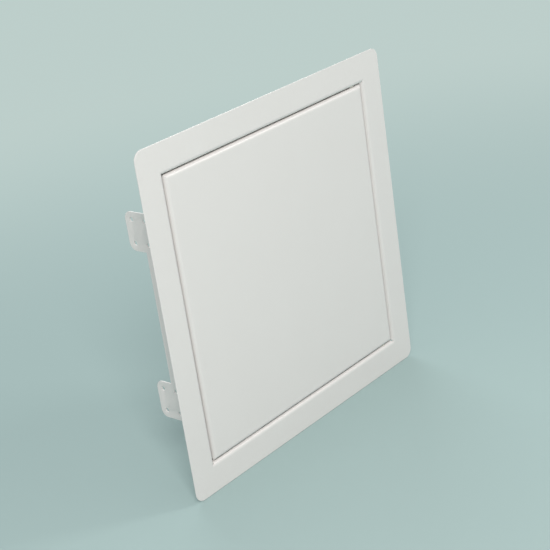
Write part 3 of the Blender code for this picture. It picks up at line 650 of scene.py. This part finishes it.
def join(name, pieces):
    """Several meshes as one piece."""
    form = bmesh.new()
    for piece in pieces:
        form.from_mesh(piece.data)
        bpy.data.objects.remove(piece, do_unlink=True)
    return placed(name, form)


def facing(direction):
    return Vector(direction).to_track_quat("Z", "Y").to_euler()


ROW = {"Start": "Vector", "Spacing": "Vector", "Count": "Int", "Turn": "Rotation"}
WELD_RIM = 0.00007
CRATER = 0.72

welds = Tree("spot welds", **ROW, Radius="Float", Rim="Float")
radius, rim = welds.given("Radius", "Rim")
disc = welds.node(
    "GeometryNodeMeshCylinder",
    {"fill_type": "TRIANGLE_FAN"},
    {"Vertices": 24, "Side Segments": 1, "Fill Segments": 7, "Radius": radius, "Depth": rim},
)
spot = welds.node("GeometryNodeInputPosition")
x, y, z = [welds.node("SeparateXYZ", {}, {0: spot}, output=axis) for axis in range(3)]
share = welds.node("CombineXYZ", {}, {0: x, 1: y}).length() / radius
swell = 1.0 - (share - CRATER).maths("ABSOLUTE") * 3.6
swell = swell.maths("MAXIMUM", 0.0).maths("SMOOTH_MIN", 1.0, 0.3)
lift = welds.upright(swell * z.maths("GREATER_THAN", 0.0) * rim)
crater = welds.node("GeometryNodeSetPosition", {}, {"Geometry": disc, "Offset": lift})
welds.finish_row(crater)

plate_face = OPENING / 2 + SHEET + GAP + PLATE
rows = [
    welds.make(
        "row",
        Start=(side * plate_face, 0.017, -0.126),
        Spacing=(0, 0, 0.036),
        Count=8,
        Turn=facing((side, 0, 0)),
        Radius=0.0028,
        Rim=WELD_RIM,
        Finish=coat,
    )
    for side in (-1, 1)
]
hand_over(join("plate_welds", rows), coat, "frame", "white_powder_coat")

# The stiffener. A hat channel of 1 mm steel spot-welded across the inside of the door, so that
# its face stays flat. The striker is screwed to its crown.

STIFFENER = 0.0010
CROWN = GAP + 0.012
CROWN_HALF = 0.012
FOOT_START = 0.015
FOOT_END = 0.025
LATCH_X = -(DOOR_HALF - 0.0214)
STRIKER_SCREW_X = LATCH_X + 0.007 + SHEET
STRIKER_SCREW_Z = 0.0045
STRIKER_HOLE = 0.0018


def sheet_section(front_face, back_face, softness=0.0003):
    """The closed section of a folded sheet, with both of its cut edges rounded off."""
    leaving = (front_face[-1] - front_face[-2]).normalized()
    entering = (front_face[0] - front_face[1]).normalized()
    last_cut = cut_edge(front_face[-1], back_face[-1], leaving, softness, 0.0001)
    first_cut = cut_edge(back_face[0], front_face[0], entering, softness, 0.0001)
    return front_face[1:-1] + last_cut + back_face[-2:0:-1] + first_cut


def swept(name, section, axis, near, far, softness=0.00015, support=0.0001):
    """A section carried straight from near to far along an axis, with its ends softened."""
    rings = []
    for level, ring in plate_layers(section, near, far, softness, support):
        rings.append([(*point[:axis], level, *point[axis:]) for point in ring])
    return skinned(name, rings)


foot_y = GAP + STIFFENER / 2
crown_y = CROWN - STIFFENER / 2
hat_line = [(foot_y, FOOT_END), (foot_y, FOOT_START), (crown_y, CROWN_HALF)]
hat_line = [(y, -z) for y, z in hat_line] + hat_line[::-1]
section = sheet_section(*folded_faces(hat_line, STIFFENER, BEND_RADIUS - SHEET / 2))
stiffener_reach = DOOR_HALF - SHEET - 0.002
hat_channel = swept("hat_channel", section, 0, -stiffener_reach, stiffener_reach)
holes = mirrored(STRIKER_SCREW_X, crown_y, STRIKER_SCREW_Z)
drill(hat_channel, holes, (0, 1, 0), STRIKER_HOLE, STIFFENER)
hand_over(hat_channel, coat, "door", "white_powder_coat", "door_stiffener")
rows = [
    welds.make(
        "row",
        Start=(-0.132, GAP + STIFFENER, side * 0.0205),
        Spacing=(0.044, 0, 0),
        Count=7,
        Turn=facing((0, 1, 0)),
        Radius=0.0026,
        Rim=WELD_RIM,
        Finish=coat,
    )
    for side in (-1, 1)
]
hand_over(join("stiffener_welds", rows), coat, "door", "white_powder_coat")

# The pivot bushes. Natural nylon, moulded, pressed into the frame's end walls from inside, with a
# thrust collar that keeps the door's end clear of the wall.


def natural_nylon():
    """Unpigmented nylon: milky, slightly yellow, with a soft mould finish."""
    finish = Finish("natural nylon")
    grain = finish.noise(2800.0, 2.0, 0.6)
    milk = finish.noise(260.0, 3.0)
    return finish.shade(
        Base_Color=finish.between(milk, (0.66, 0.64, 0.57), (0.74, 0.725, 0.665)),
        Roughness=0.36 + grain * 0.12 + milk * 0.08,
        Normal=finish.relief(0.4, 0.00002, grain),
    )


natural = natural_nylon()
BORE = PIN_RADIUS + GAP
BUSH_RADIUS = BORE + 0.0011
THRUST_RADIUS = 0.0042
THRUST_COLLAR = 0.0004


def turned(name, profile, base, axis, closed=False, sides=48):
    """A turned piece: profile holds (radius, height) points, with heights measured along axis."""
    return skinned(name, turned_rings(profile, base, axis, sides), closed)


section = rounded_outline(
    [
        (BORE, -THRUST_COLLAR, 0.0001),
        (THRUST_RADIUS, -THRUST_COLLAR, 0.0002),
        (THRUST_RADIUS, 0, 0.0001),
        (BUSH_RADIUS, 0, 0.00005),
        (BUSH_RADIUS, GAP + SHEET, 0.0003),
        (BORE, GAP + SHEET, 0.0003),
    ],
    steps=3,
    support=0.00003,
)
for name, side in (("upper", 1), ("lower", -1)):
    base = (PIVOT_X, PIVOT_Y, side * (OPENING / 2 - GAP))
    bush = turned("nylon_bush_" + name, section, base, (0, 0, side), closed=True)
    hand_over(bush, natural, "frame", "natural_nylon", "pivot_bush_" + name)

# The pivot brackets. A U of 1.5 mm zinc plated steel in each corner behind the door's pivot edge.
# Its two legs guide the pin, and its web is welded inside the door's return.


def zinc_plate():
    """Rolled steel with a blue zinc plate: cloudy, with faint lines from the rolling."""
    finish = Finish("zinc plate")
    cloud = finish.noise(150.0, 4.0, 0.62)
    rolling = finish.noise((70, 1800, 1800))
    grain = finish.noise(5200.0, 1.0)
    return finish.shade(
        Base_Color=finish.between(cloud, (0.56, 0.585, 0.62), (0.70, 0.70, 0.675)),
        Metallic=1.0,
        Roughness=0.24 + cloud * 0.16 + rolling * 0.08,
        Normal=finish.relief(0.4, 0.00001, rolling + grain * 0.5),
    )


zinc = zinc_plate()
BRACKET = 0.0015
BRACKET_FACE = DOOR_HALF - SHEET - GAP
BRACKET_FRONT = 0.0012
BRACKET_BACK = DOOR_BACK - SHEET - 0.004
LEG_END = PIVOT_X - 0.0085
LEG_SPACING = 0.036

web_x = leg_z = BRACKET_FACE - BRACKET / 2
far_leg_z = leg_z - LEG_SPACING
for name, side in (("upper", 1), ("lower", -1)):
    line = [(LEG_END, leg_z), (web_x, leg_z), (web_x, far_leg_z), (LEG_END, far_leg_z)]
    line = [(x, side * z) for x, z in line]
    section = sheet_section(*folded_faces(line, BRACKET, BEND_RADIUS - SHEET / 2))
    bracket = swept("pin_bracket_" + name, section, 1, BRACKET_FRONT, BRACKET_BACK)
    holes = [(PIVOT_X, PIVOT_Y, side * z) for z in (leg_z, far_leg_z)]
    drill(bracket, holes, (0, 0, 1), BORE, BRACKET)
    hand_over(bracket, zinc, "door", "zinc_plate", "pivot_bracket_" + name)

# The pivot pins. Below, a headed pin stays in its bracket. Above, a sprung bolt with a bent
# finger hold is pulled down to free the door. Both are turned from bright drawn bar with rounded
# noses, and a collar pressed on each bears on the bracket.


def bright_steel():
    """Drawn and turned steel: bright, with fine rings left by the tool round the bar."""
    finish = Finish("bright steel")
    rings = finish.noise((90, 90, 5200))
    film = finish.noise(210.0, 3.0, 0.6)
    return finish.shade(
        Base_Color=finish.between(film, (0.60, 0.595, 0.585), (0.70, 0.70, 0.70)),
        Metallic=1.0,
        Roughness=0.17 + rings * 0.12 + film * 0.08,
        Normal=finish.relief(0.35, 0.000008, rings),
    )


steel = bright_steel()
NOSE = 0.001
COLLAR_RADIUS = 0.004
COLLAR = 0.0025
PIN_TIP = OPENING / 2 + SHEET + 0.0034
FAR_LEG = BRACKET_FACE - LEG_SPACING
BEND = 0.006
HOLD_DROP = 0.012
HOLD_REACH = 0.020


def softened(profile, steps=3, support=0.00004):
    """A solid turned profile of (radius, height, rounding) corners, from end to end."""
    closed = [(0.0, profile[0][1], 0.0)] + profile + [(0.0, profile[-1][1], 0.0)]
    return rounded_outline(closed, steps, support)[1:-1]


tail = FAR_LEG - BRACKET - GAP
profile = softened(
    [
        (COLLAR_RADIUS, -COLLAR, 0.0004),
        (COLLAR_RADIUS, 0, 0.0002),
        (PIN_RADIUS, 0, 0.0002),
        (PIN_RADIUS, PIN_TIP - tail, NOSE),
    ],
    steps=5,
)
lower_pin = turned("lower_pin", profile, (PIVOT_X, PIVOT_Y, -tail), (0, 0, -1))
hand_over(lower_pin, steel, "door", "bright_steel", "pivot_pin")

collar_top = BRACKET_FACE - BRACKET - GAP
section = rounded_outline(
    [
        (BORE, -COLLAR, 0.0002),
        (COLLAR_RADIUS, -COLLAR, 0.0003),
        (COLLAR_RADIUS, 0, 0.0003),
        (BORE, 0, 0.0002),
    ],
    steps=3,
    support=0.00003,
)
for name, side, body, node in (
    ("lower", -1, "door", "pin_collar"),
    ("upper", 1, "pivot_bolt", "bolt_collar"),
):
    base = (PIVOT_X, PIVOT_Y, side * collar_top)
    ring = turned("pressed_ring_" + name, section, base, (0, 0, side), closed=True)
    hand_over(ring, steel, body, "bright_steel", node)

hold_z = tail - HOLD_DROP
route = []
for narrowing, down in quarter_round(NOSE, 5):
    route.append((Vector((0, 0, PIN_TIP - down)), PIN_RADIUS - narrowing))
route.append((Vector((0, 0, PIN_TIP - NOSE - 0.0001)), PIN_RADIUS))
for up, along in quarter_round(BEND, 14):
    route.append((Vector((-along, 0, hold_z + up)), PIN_RADIUS))
for along, narrowing in quarter_round(NOSE, 5):
    route.append((Vector((along - HOLD_REACH, 0, hold_z)), PIN_RADIUS - narrowing))
rings = []
for index, (point, radius) in enumerate(route):
    before = route[max(index - 1, 0)][0]
    after = route[min(index + 1, len(route) - 1)][0]
    direction = (after - before).normalized()
    across = Vector((direction.z, 0, -direction.x))
    ring = []
    for side in range(40):
        angle = 2 * math.pi * side / 40
        spoke = across * math.cos(angle) + Vector((0, 1, 0)) * math.sin(angle)
        ring.append(Vector((PIVOT_X, PIVOT_Y, 0)) + point + spoke * radius)
    rings.append(ring)
draw_bolt = skinned("draw_bolt", rings)
hand_over(draw_bolt, steel, "pivot_bolt", "bright_steel", "pivot_bolt")

# The bolt's spring. Nine turns of 0.7 mm spring wire round the bolt, closed at both ends, between
# the bracket's far leg and the bolt's collar.

WIRE = 0.00035
coil = Tree(
    "compression spring",
    Coil_Radius="Float",
    Wire_Radius="Float",
    Low="Float",
    High="Float",
    Turns="Int",
    Steps="Int",
    Closed_Pitch="Float",
)
turns, steps, low, high = coil.given("Turns", "Steps", "Low", "High")
coil_radius, wire_radius, pitch = coil.given("Coil_Radius", "Wire_Radius", "Closed_Pitch")
line = coil.node("GeometryNodeMeshLine", {}, {"Count": turns * steps + 1.0})
wound = coil.node("GeometryNodeInputIndex") / steps
angle = wound * (2 * math.pi)
opening_turn = wound.maths("MINIMUM", 1.0)
closing_turn = 1.0 - (turns - wound).maths("MINIMUM", 1.0)
rise = ((wound - 1.0) / (turns - 2.0)).maths("MAXIMUM", 0.0).maths("MINIMUM", 1.0)
height = (high - low - pitch * 2.0) * rise + pitch * (opening_turn + closing_turn) + low
x = angle.maths("COSINE") * coil_radius + PIVOT_X
y = angle.maths("SINE") * coil_radius + PIVOT_Y
place = coil.node("CombineXYZ", {}, {0: x, 1: y, 2: height})
helix = coil.node("GeometryNodeSetPosition", {}, {"Geometry": line, "Position": place})
inputs = {"Resolution": 12, "Radius": wire_radius}
circle = coil.node("GeometryNodeCurvePrimitiveCircle", {}, inputs)
curve = coil.node("GeometryNodeMeshToCurve", {}, {"Mesh": helix})
inputs = {"Curve": curve, "Profile Curve": circle, "Fill Caps": True}
coil.finish_with(coil.node("GeometryNodeCurveToMesh", {}, inputs))
spring = coil.make(
    "bolt_spring",
    Coil_Radius=BORE + 2 * WIRE,
    Wire_Radius=WIRE,
    Low=FAR_LEG + GAP + WIRE,
    High=collar_top - COLLAR - GAP - WIRE,
    Turns=9,
    Steps=36,
    Closed_Pitch=2 * WIRE + 0.0001,
    Finish=steel,
)
hand_over(spring, steel, "door", "bright_steel", "pivot_spring")
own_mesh(spring)

# The latch bracket. An angle of 1.2 mm zinc plated steel riveted behind the stop lip. Two slots
# in its wing let the latch be set nearer to or further from the door.

LATCH_MOUTH = FRAME_DEPTH - 0.0035
LATCH_REAR = LATCH_MOUTH + 0.0295
LATCH_HALF_WIDTH = 0.0068
JAW_LENGTH = 0.0112
HOOK = 0.0033
JAW_PIVOT_Y = LATCH_MOUTH + JAW_LENGTH + GAP
JAW_FRONT = JAW_PIVOT_Y - JAW_LENGTH
HEAD_FRONT = JAW_FRONT + HOOK + GAP
STRIKER_END = HEAD_FRONT + 0.003
CARRIAGE_BASE = max(JAW_PIVOT_Y + 0.00275 + GAP, STRIKER_END + 0.006 + 2 * GAP)
CARRIAGE_REAR = CARRIAGE_BASE + 0.0037
LATCH_SCREW_Y = (CARRIAGE_REAR + GAP + LATCH_REAR) / 2
LATCH_SCREW_Z = 0.008
LATCH_SCREW_HOLE = 0.0018
SLOT_HALF_LENGTH = 0.0035
WING_X = LATCH_X - LATCH_HALF_WIDTH - GAP - SHEET / 2
WING_HALF = 0.019
WING_CORNER = 0.005
TINY_ROUND = 0.00001


def add_prism(form, outline, near, far):
    """A straight solid along X, through an outline in Y and Z."""
    add_solid(form, [[(x, point.x, point.y) for point in outline] for x in (near, far)])


def bevelled(piece, width=0.00012, segments=3):
    """Softens the sharp edges of a small piece and keeps its flats flat."""
    change = piece.modifiers.new("edges", "BEVEL")
    change.width = width
    change.segments = segments
    change.limit_method = "ANGLE"
    change.angle_limit = math.radians(40)
    settle(piece)


def folded_strip(name, line, half_width):
    """A folded strip of sheet, through a line in X and Y, with square edges."""
    front_face, back_face = folded_faces(line, SHEET, BEND_RADIUS - SHEET / 2)
    section = front_face + back_face[::-1]
    return swept(name, section, 2, -half_width, half_width, TINY_ROUND, TINY_ROUND)


lip_y = FRAME_DEPTH + GAP + SHEET / 2
latch_angle = folded_strip(
    "latch_angle",
    [(-(OPENING / 2 - BEND_RADIUS), lip_y), (WING_X, lip_y), (WING_X, LATCH_REAR)],
    WING_HALF,
)
form = bmesh.new()
wing = rounded_outline(
    [
        (FRAME_DEPTH - BEYOND, -WING_HALF, 0),
        (LATCH_REAR, -WING_HALF, WING_CORNER),
        (LATCH_REAR, WING_HALF, WING_CORNER),
        (FRAME_DEPTH - BEYOND, WING_HALF, 0),
    ]
)
add_prism(form, wing, near=-0.16, far=-0.10)
carve(latch_angle, form, "INTERSECT")
form = bmesh.new()
slot_round = LATCH_SCREW_HOLE - TINY_ROUND
for side in (-1, 1):
    slot = []
    for u, v in SQUARE:
        y = LATCH_SCREW_Y + u * SLOT_HALF_LENGTH
        slot.append((y, side * LATCH_SCREW_Z + v * LATCH_SCREW_HOLE, slot_round))
    add_prism(form, rounded_outline(slot), WING_X - SHEET, WING_X + SHEET)
carve(latch_angle, form)
holes = mirrored(RIVET_X, lip_y, RIVET_SPACING / 2)
drill(latch_angle, holes, (0, 1, 0), RIVET_HOLE, SHEET, TINY_ROUND)
bevelled(latch_angle)
hand_over(latch_angle, zinc, "frame", "zinc_plate", "latch_bracket")

# The rivets. Two blind rivets of bright steel hold the latch bracket: a low domed head in front
# of the lip with the broken end of the mandrel in it, and a pulled bulb behind.


def lathe(tree, low, high, radius_at, count, sides=32):
    """A turned solid along Z from low to high. radius_at takes the share of the way."""
    inputs = {"Start": tree.upright(low), "End": tree.upright(high)}
    line = tree.node("GeometryNodeCurvePrimitiveLine", {}, inputs)
    line = tree.node("GeometryNodeResampleCurve", {}, {"Curve": line, "Count": count})
    inputs = {"Resolution": sides, "Radius": 1.0}
    circle = tree.node("GeometryNodeCurvePrimitiveCircle", {}, inputs)
    radius = radius_at(tree.node("GeometryNodeSplineParameter"))
    inputs = {"Curve": line, "Profile Curve": circle, "Scale": radius, "Fill Caps": True}
    return tree.node("GeometryNodeCurveToMesh", {}, inputs)


def domed(radius, fullness):
    """The radius of a dome at a share of its height: full at the seat, closing at the top."""
    return lambda share: radius * (1.0 - share.maths("POWER", fullness)).maths("POWER", 0.5)


def lowered(tree, piece, drop):
    inputs = {"Geometry": piece, "Translation": tree.upright(drop * -1.0)}
    return tree.node("GeometryNodeTransform", {}, inputs)


def hollowed(tree, head, tool):
    settings = {"operation": "DIFFERENCE", "solver": "EXACT"}
    inputs = {"Mesh 1": head, "Mesh 2": tool, "Self Intersection": True}
    return tree.node("GeometryNodeMeshBoolean", settings, inputs)


MANDREL = 0.6
BULB_START = 0.5
BULB_SWEEP = 2.2
kinds = ("Head_Radius", "Head_Height", "Shank_Radius", "Grip", "Bulb_Radius", "Bulb_Length")
rivets = Tree("blind rivets", **ROW, **dict.fromkeys(kinds, "Float"))
head_radius, head_height, shank_radius, grip, bulb_radius, bulb_length = rivets.given(*kinds)
head = lathe(rivets, 0.0, head_height * -0.99, domed(head_radius, fullness=2.2), count=9)
inputs = {"Vertices": 20, "Radius": shank_radius * MANDREL, "Depth": head_height}
mandrel = rivets.node("GeometryNodeMeshCylinder", {}, inputs)
head = hollowed(rivets, head, lowered(rivets, mandrel, head_height))
shank = lathe(rivets, 0.0, grip, lambda share: shank_radius, count=3, sides=24)


def bulging(share):
    return bulb_radius * (share * BULB_SWEEP + BULB_START).maths("SINE")


bulb = lathe(rivets, grip, grip + bulb_length, bulging, count=9)
rivets.finish_row(rivets.node("GeometryNodeJoinGeometry", {}, {0: [head, shank, bulb]}))
lip_rivets = rivets.make(
    "lip_rivets",
    Start=(RIVET_X, FRAME_DEPTH - SHEET - GAP, -RIVET_SPACING / 2),
    Spacing=(0, 0, RIVET_SPACING),
    Count=2,
    Turn=facing((0, 1, 0)),
    Head_Radius=0.0032,
    Head_Height=0.001,
    Shank_Radius=0.0016,
    Grip=2 * SHEET + 3 * GAP,
    Bulb_Radius=0.0024,
    Bulb_Length=0.0021,
    Finish=steel,
)
nodes = ("latch_rivet_lower", "latch_rivet_upper")
hand_over(lip_rivets, steel, "frame", "bright_steel", *nodes)

# The latch housing. A black nylon box, moulded in two halves that meet at a fine joint line, with
# a flared mouth towards the door. Two screws through the bracket's slots hold its solid end.


def black_nylon():
    """Moulded nylon: nearly black, with the fine matt grain of a spark-eroded mould."""
    finish = Finish("black nylon")
    grain = finish.noise(3400.0, 2.0, 0.6)
    flow = finish.noise((60, 260, 60), 3.0)
    return finish.shade(
        Base_Color=finish.between(flow, (0.016, 0.016, 0.018), (0.028, 0.028, 0.029)),
        Roughness=0.40 + grain * 0.12 + flow * 0.10,
        Normal=finish.relief(0.5, 0.00002, grain),
    )


black = black_nylon()
HOUSING_HALF_HEIGHT = 0.014
CAVITY_HALF_WIDTH = LATCH_HALF_WIDTH - 0.002
CAVITY_HALF_HEIGHT = 0.012
JOINT_Y = CARRIAGE_REAR + 0.002
JOINT_DEPTH = 0.00018
SCREW_DEPTH = 0.006

corners = []
for u, v in SQUARE:
    corners.append((LATCH_X + u * LATCH_HALF_WIDTH, v * HOUSING_HALF_HEIGHT, 0.0015))
shape = rounded_outline(corners, steps=6, support=0.0003)
groove = [(JOINT_Y - 0.0002, shape), (JOINT_Y - 0.00015, inset(shape, JOINT_DEPTH))]
groove += [(JOINT_Y + 0.00015, inset(shape, JOINT_DEPTH)), (JOINT_Y + 0.0002, shape)]
layers = plate_layers(shape, LATCH_MOUTH, LATCH_REAR, softness=0.0004, support=0.0003)
layers = layers[: len(layers) // 2] + groove + layers[len(layers) // 2 :]
rings = [[(point.x, y, point.y) for point in ring] for y, ring in layers]
latch_box = skinned("latch_box", rings)
form = bmesh.new()
rings = []
for y, flare in (
    (LATCH_MOUTH - 0.001, 0.0012),
    (LATCH_MOUTH, 0.0010),
    (LATCH_MOUTH + 0.001, 0),
    (CARRIAGE_REAR + GAP, 0),
):
    half_x = CAVITY_HALF_WIDTH + flare
    half_z = CAVITY_HALF_HEIGHT + flare
    rings.append([(LATCH_X + u * half_x, y, v * half_z) for u, v in SQUARE])
add_solid(form, rings)
carve(latch_box, form)
holes = mirrored(LATCH_X - LATCH_HALF_WIDTH, LATCH_SCREW_Y, LATCH_SCREW_Z)
drill(latch_box, holes, (1, 0, 0), LATCH_SCREW_HOLE, SCREW_DEPTH, TINY_ROUND)
hand_over(latch_box, black, "frame", "black_nylon", "latch_housing")

# The screws. Pan heads with a cross recess, zinc plated: two hold the latch in its bracket and
# two hold the striker on the stiffener.

ARM_WIDTH = 0.24
THREAD_ROOT = 0.80
THREAD_RISE = 0.36
BLUNT_TIP = 0.25
kinds = ("Head_Radius", "Head_Height", "Shank_Radius", "Length", "Pitch", "Recess")
screws = Tree("pan head screws", **ROW, **dict.fromkeys(kinds, "Float"))
head_radius, head_height, shank_radius, length, pitch, recess = screws.given(*kinds)
head = lathe(screws, 0.0, head_height * -0.995, domed(head_radius, fullness=3.4), count=12)
arms = []
for width, depth in ((recess, recess * ARM_WIDTH), (recess * ARM_WIDTH, recess)):
    size = screws.node("CombineXYZ", {}, {0: width, 1: depth, 2: head_height})
    arms.append(screws.node("GeometryNodeMeshCube", {}, {"Size": size}))
cross = screws.node("GeometryNodeJoinGeometry", {}, {0: arms})
head = hollowed(screws, head, lowered(screws, cross, head_height * 0.95))


def threaded(share):
    crest = (share * length).maths("PINGPONG", pitch * 0.5) / pitch
    point = ((1.0 - share) * 5.0).maths("MINIMUM", 1.0).maths("MAXIMUM", BLUNT_TIP)
    return shank_radius * ((crest * THREAD_RISE + THREAD_ROOT) * point)


shank = lathe(screws, 0.0, length, threaded, count=41, sides=24)
screws.finish_row(screws.node("GeometryNodeJoinGeometry", {}, {0: [head, shank]}))
screw = {
    "Count": 2,
    "Head_Radius": 0.0028,
    "Head_Height": 0.0018,
    "Shank_Radius": 0.0015,
    "Length": 0.006,
    "Pitch": 0.0006,
    "Recess": 0.0029,
    "Finish": zinc,
}
latch_screws = screws.make(
    "slot_screws",
    Start=(WING_X - SHEET / 2 - GAP, LATCH_SCREW_Y, -LATCH_SCREW_Z),
    Spacing=(0, 0, 2 * LATCH_SCREW_Z),
    Turn=facing((1, 0, 0)),
    **screw,
)
hand_over(latch_screws, zinc, "frame", "zinc_plate", "latch_screw_lower", "latch_screw_upper")
crown_screws = screws.make(
    "crown_screws",
    Start=(STRIKER_SCREW_X, CROWN + 2 * GAP + SHEET, -STRIKER_SCREW_Z),
    Spacing=(0, 0, 2 * STRIKER_SCREW_Z),
    Turn=facing((0, -1, 0)),
    **screw,
)
nodes = ("striker_screw_lower", "striker_screw_upper")
hand_over(crown_screws, zinc, "door", "zinc_plate", *nodes)

# The carriage and its jaws. Natural nylon, moulded. The carriage is a fork that springs out when
# the door is pushed, and its two hooked jaws turn apart on bright pins and let the striker go.

JAW_HALF_WIDTH = 0.0031
CHEEK = 0.0011
CARRIAGE_FRONT = LATCH_MOUTH + 0.001
JAW_BORE = 0.0015
JAW_Z = 0.008
JAW_PIN_RADIUS = 0.0012
EYE = 0.0025
JAW_TIP_Z = 0.0023
MOULDED = {"softness": 0.0002, "support": 0.00005}

fork_inner = JAW_HALF_WIDTH + GAP
fork_outer = fork_inner + CHEEK
half_fork = [
    (fork_outer, CARRIAGE_REAR, 0.0004),
    (fork_outer, CARRIAGE_FRONT, 0.0003),
    (fork_inner, CARRIAGE_FRONT, 0.0003),
    (fork_inner, CARRIAGE_BASE, 0.0003),
]
corners = [(LATCH_X + x, y, r) for x, y, r in half_fork]
corners += [(LATCH_X - x, y, r) for x, y, r in reversed(half_fork)]
shape = rounded_outline(corners, steps=3, support=0.00004)
carriage_half = CAVITY_HALF_HEIGHT - GAP
carriage = swept("jaw_carriage", shape, 2, -carriage_half, carriage_half, **MOULDED)
holes = []
for cheek in (-1, 1):
    holes += mirrored(LATCH_X + cheek * (fork_inner + CHEEK / 2), JAW_PIVOT_Y, JAW_Z)
drill(carriage, holes, (1, 0, 0), JAW_BORE, CHEEK, 0.0001)
hand_over(carriage, natural, "latch_carriage", "natural_nylon", "latch_carriage")

hook = rounded_outline(
    [
        (JAW_PIVOT_Y + EYE, JAW_Z + EYE, 0.0021),
        (JAW_PIVOT_Y + EYE, JAW_Z - EYE, 0.0021),
        (JAW_FRONT + HOOK, JAW_Z - EYE, 0.0003),
        (JAW_FRONT + HOOK, JAW_TIP_Z, 0.0003),
        (JAW_FRONT + HOOK / 2, JAW_TIP_Z, 0.0003),
        (JAW_FRONT, JAW_Z - EYE - EYE / 4, 0.0003),
        (JAW_FRONT, JAW_Z + EYE / 4, EYE / 3),
    ],
    steps=6,
)
near, far = LATCH_X - JAW_HALF_WIDTH, LATCH_X + JAW_HALF_WIDTH
for name, side in (("upper", 1), ("lower", -1)):
    shape = [Vector((point.x, side * point.y)) for point in hook]
    jaw = swept("hooked_jaw_" + name, shape, 0, near, far, **MOULDED)
    place = (LATCH_X, JAW_PIVOT_Y, side * JAW_Z)
    drill(jaw, [place], (1, 0, 0), JAW_BORE, 2 * JAW_HALF_WIDTH, 0.0002)
    hand_over(jaw, natural, "latch_jaw_" + name, "natural_nylon", "latch_jaw_" + name)

half = fork_outer - 0.0001
profile = softened([(JAW_PIN_RADIUS, -half, 0.0003), (JAW_PIN_RADIUS, half, 0.0003)])
places = mirrored(LATCH_X, JAW_PIVOT_Y, JAW_Z)
pins = [turned("pin", profile, place, (1, 0, 0), sides=32) for place in places]
jaw_pins = join("jaw_pins", pins)
hand_over(jaw_pins, steel, "latch_carriage", "bright_steel", "jaw_pin_lower", "jaw_pin_upper")

# The striker. Folded from 1.2 mm zinc plated strip: a base with two screws and a tongue whose T
# head the jaws hook behind.

NECK_HALF = 0.002
HEAD_HALF = 0.0045
STRIP_HALF = 0.008
BASE_END = LATCH_X + 0.014

base_y = CROWN + GAP + SHEET / 2
shoulder = base_y + SHEET / 2 + 0.004
line = [(BASE_END, base_y), (LATCH_X, base_y), (LATCH_X, STRIKER_END)]
tongue = folded_strip("tongue", line, STRIP_HALF)
form = bmesh.new()
for side in (-1, 1):
    shape = rounded_outline(
        [
            (shoulder, NECK_HALF, 0.001),
            (HEAD_FRONT, NECK_HALF, 0),
            (HEAD_FRONT, HEAD_HALF, 0),
            (STRIKER_END + BEYOND, HEAD_HALF, 0),
            (STRIKER_END + BEYOND, STRIP_HALF + BEYOND, 0),
            (shoulder, STRIP_HALF + BEYOND, 0),
        ]
    )
    shape = [Vector((point.x, side * point.y)) for point in shape]
    add_prism(form, shape, LATCH_X - 2 * SHEET, LATCH_X + 2 * SHEET)
carve(tongue, form)
holes = mirrored(STRIKER_SCREW_X, base_y, STRIKER_SCREW_Z)
drill(tongue, holes, (0, 1, 0), STRIKER_HOLE, SHEET, TINY_ROUND)
bevelled(tongue)
hand_over(tongue, zinc, "door", "zinc_plate", "striker")
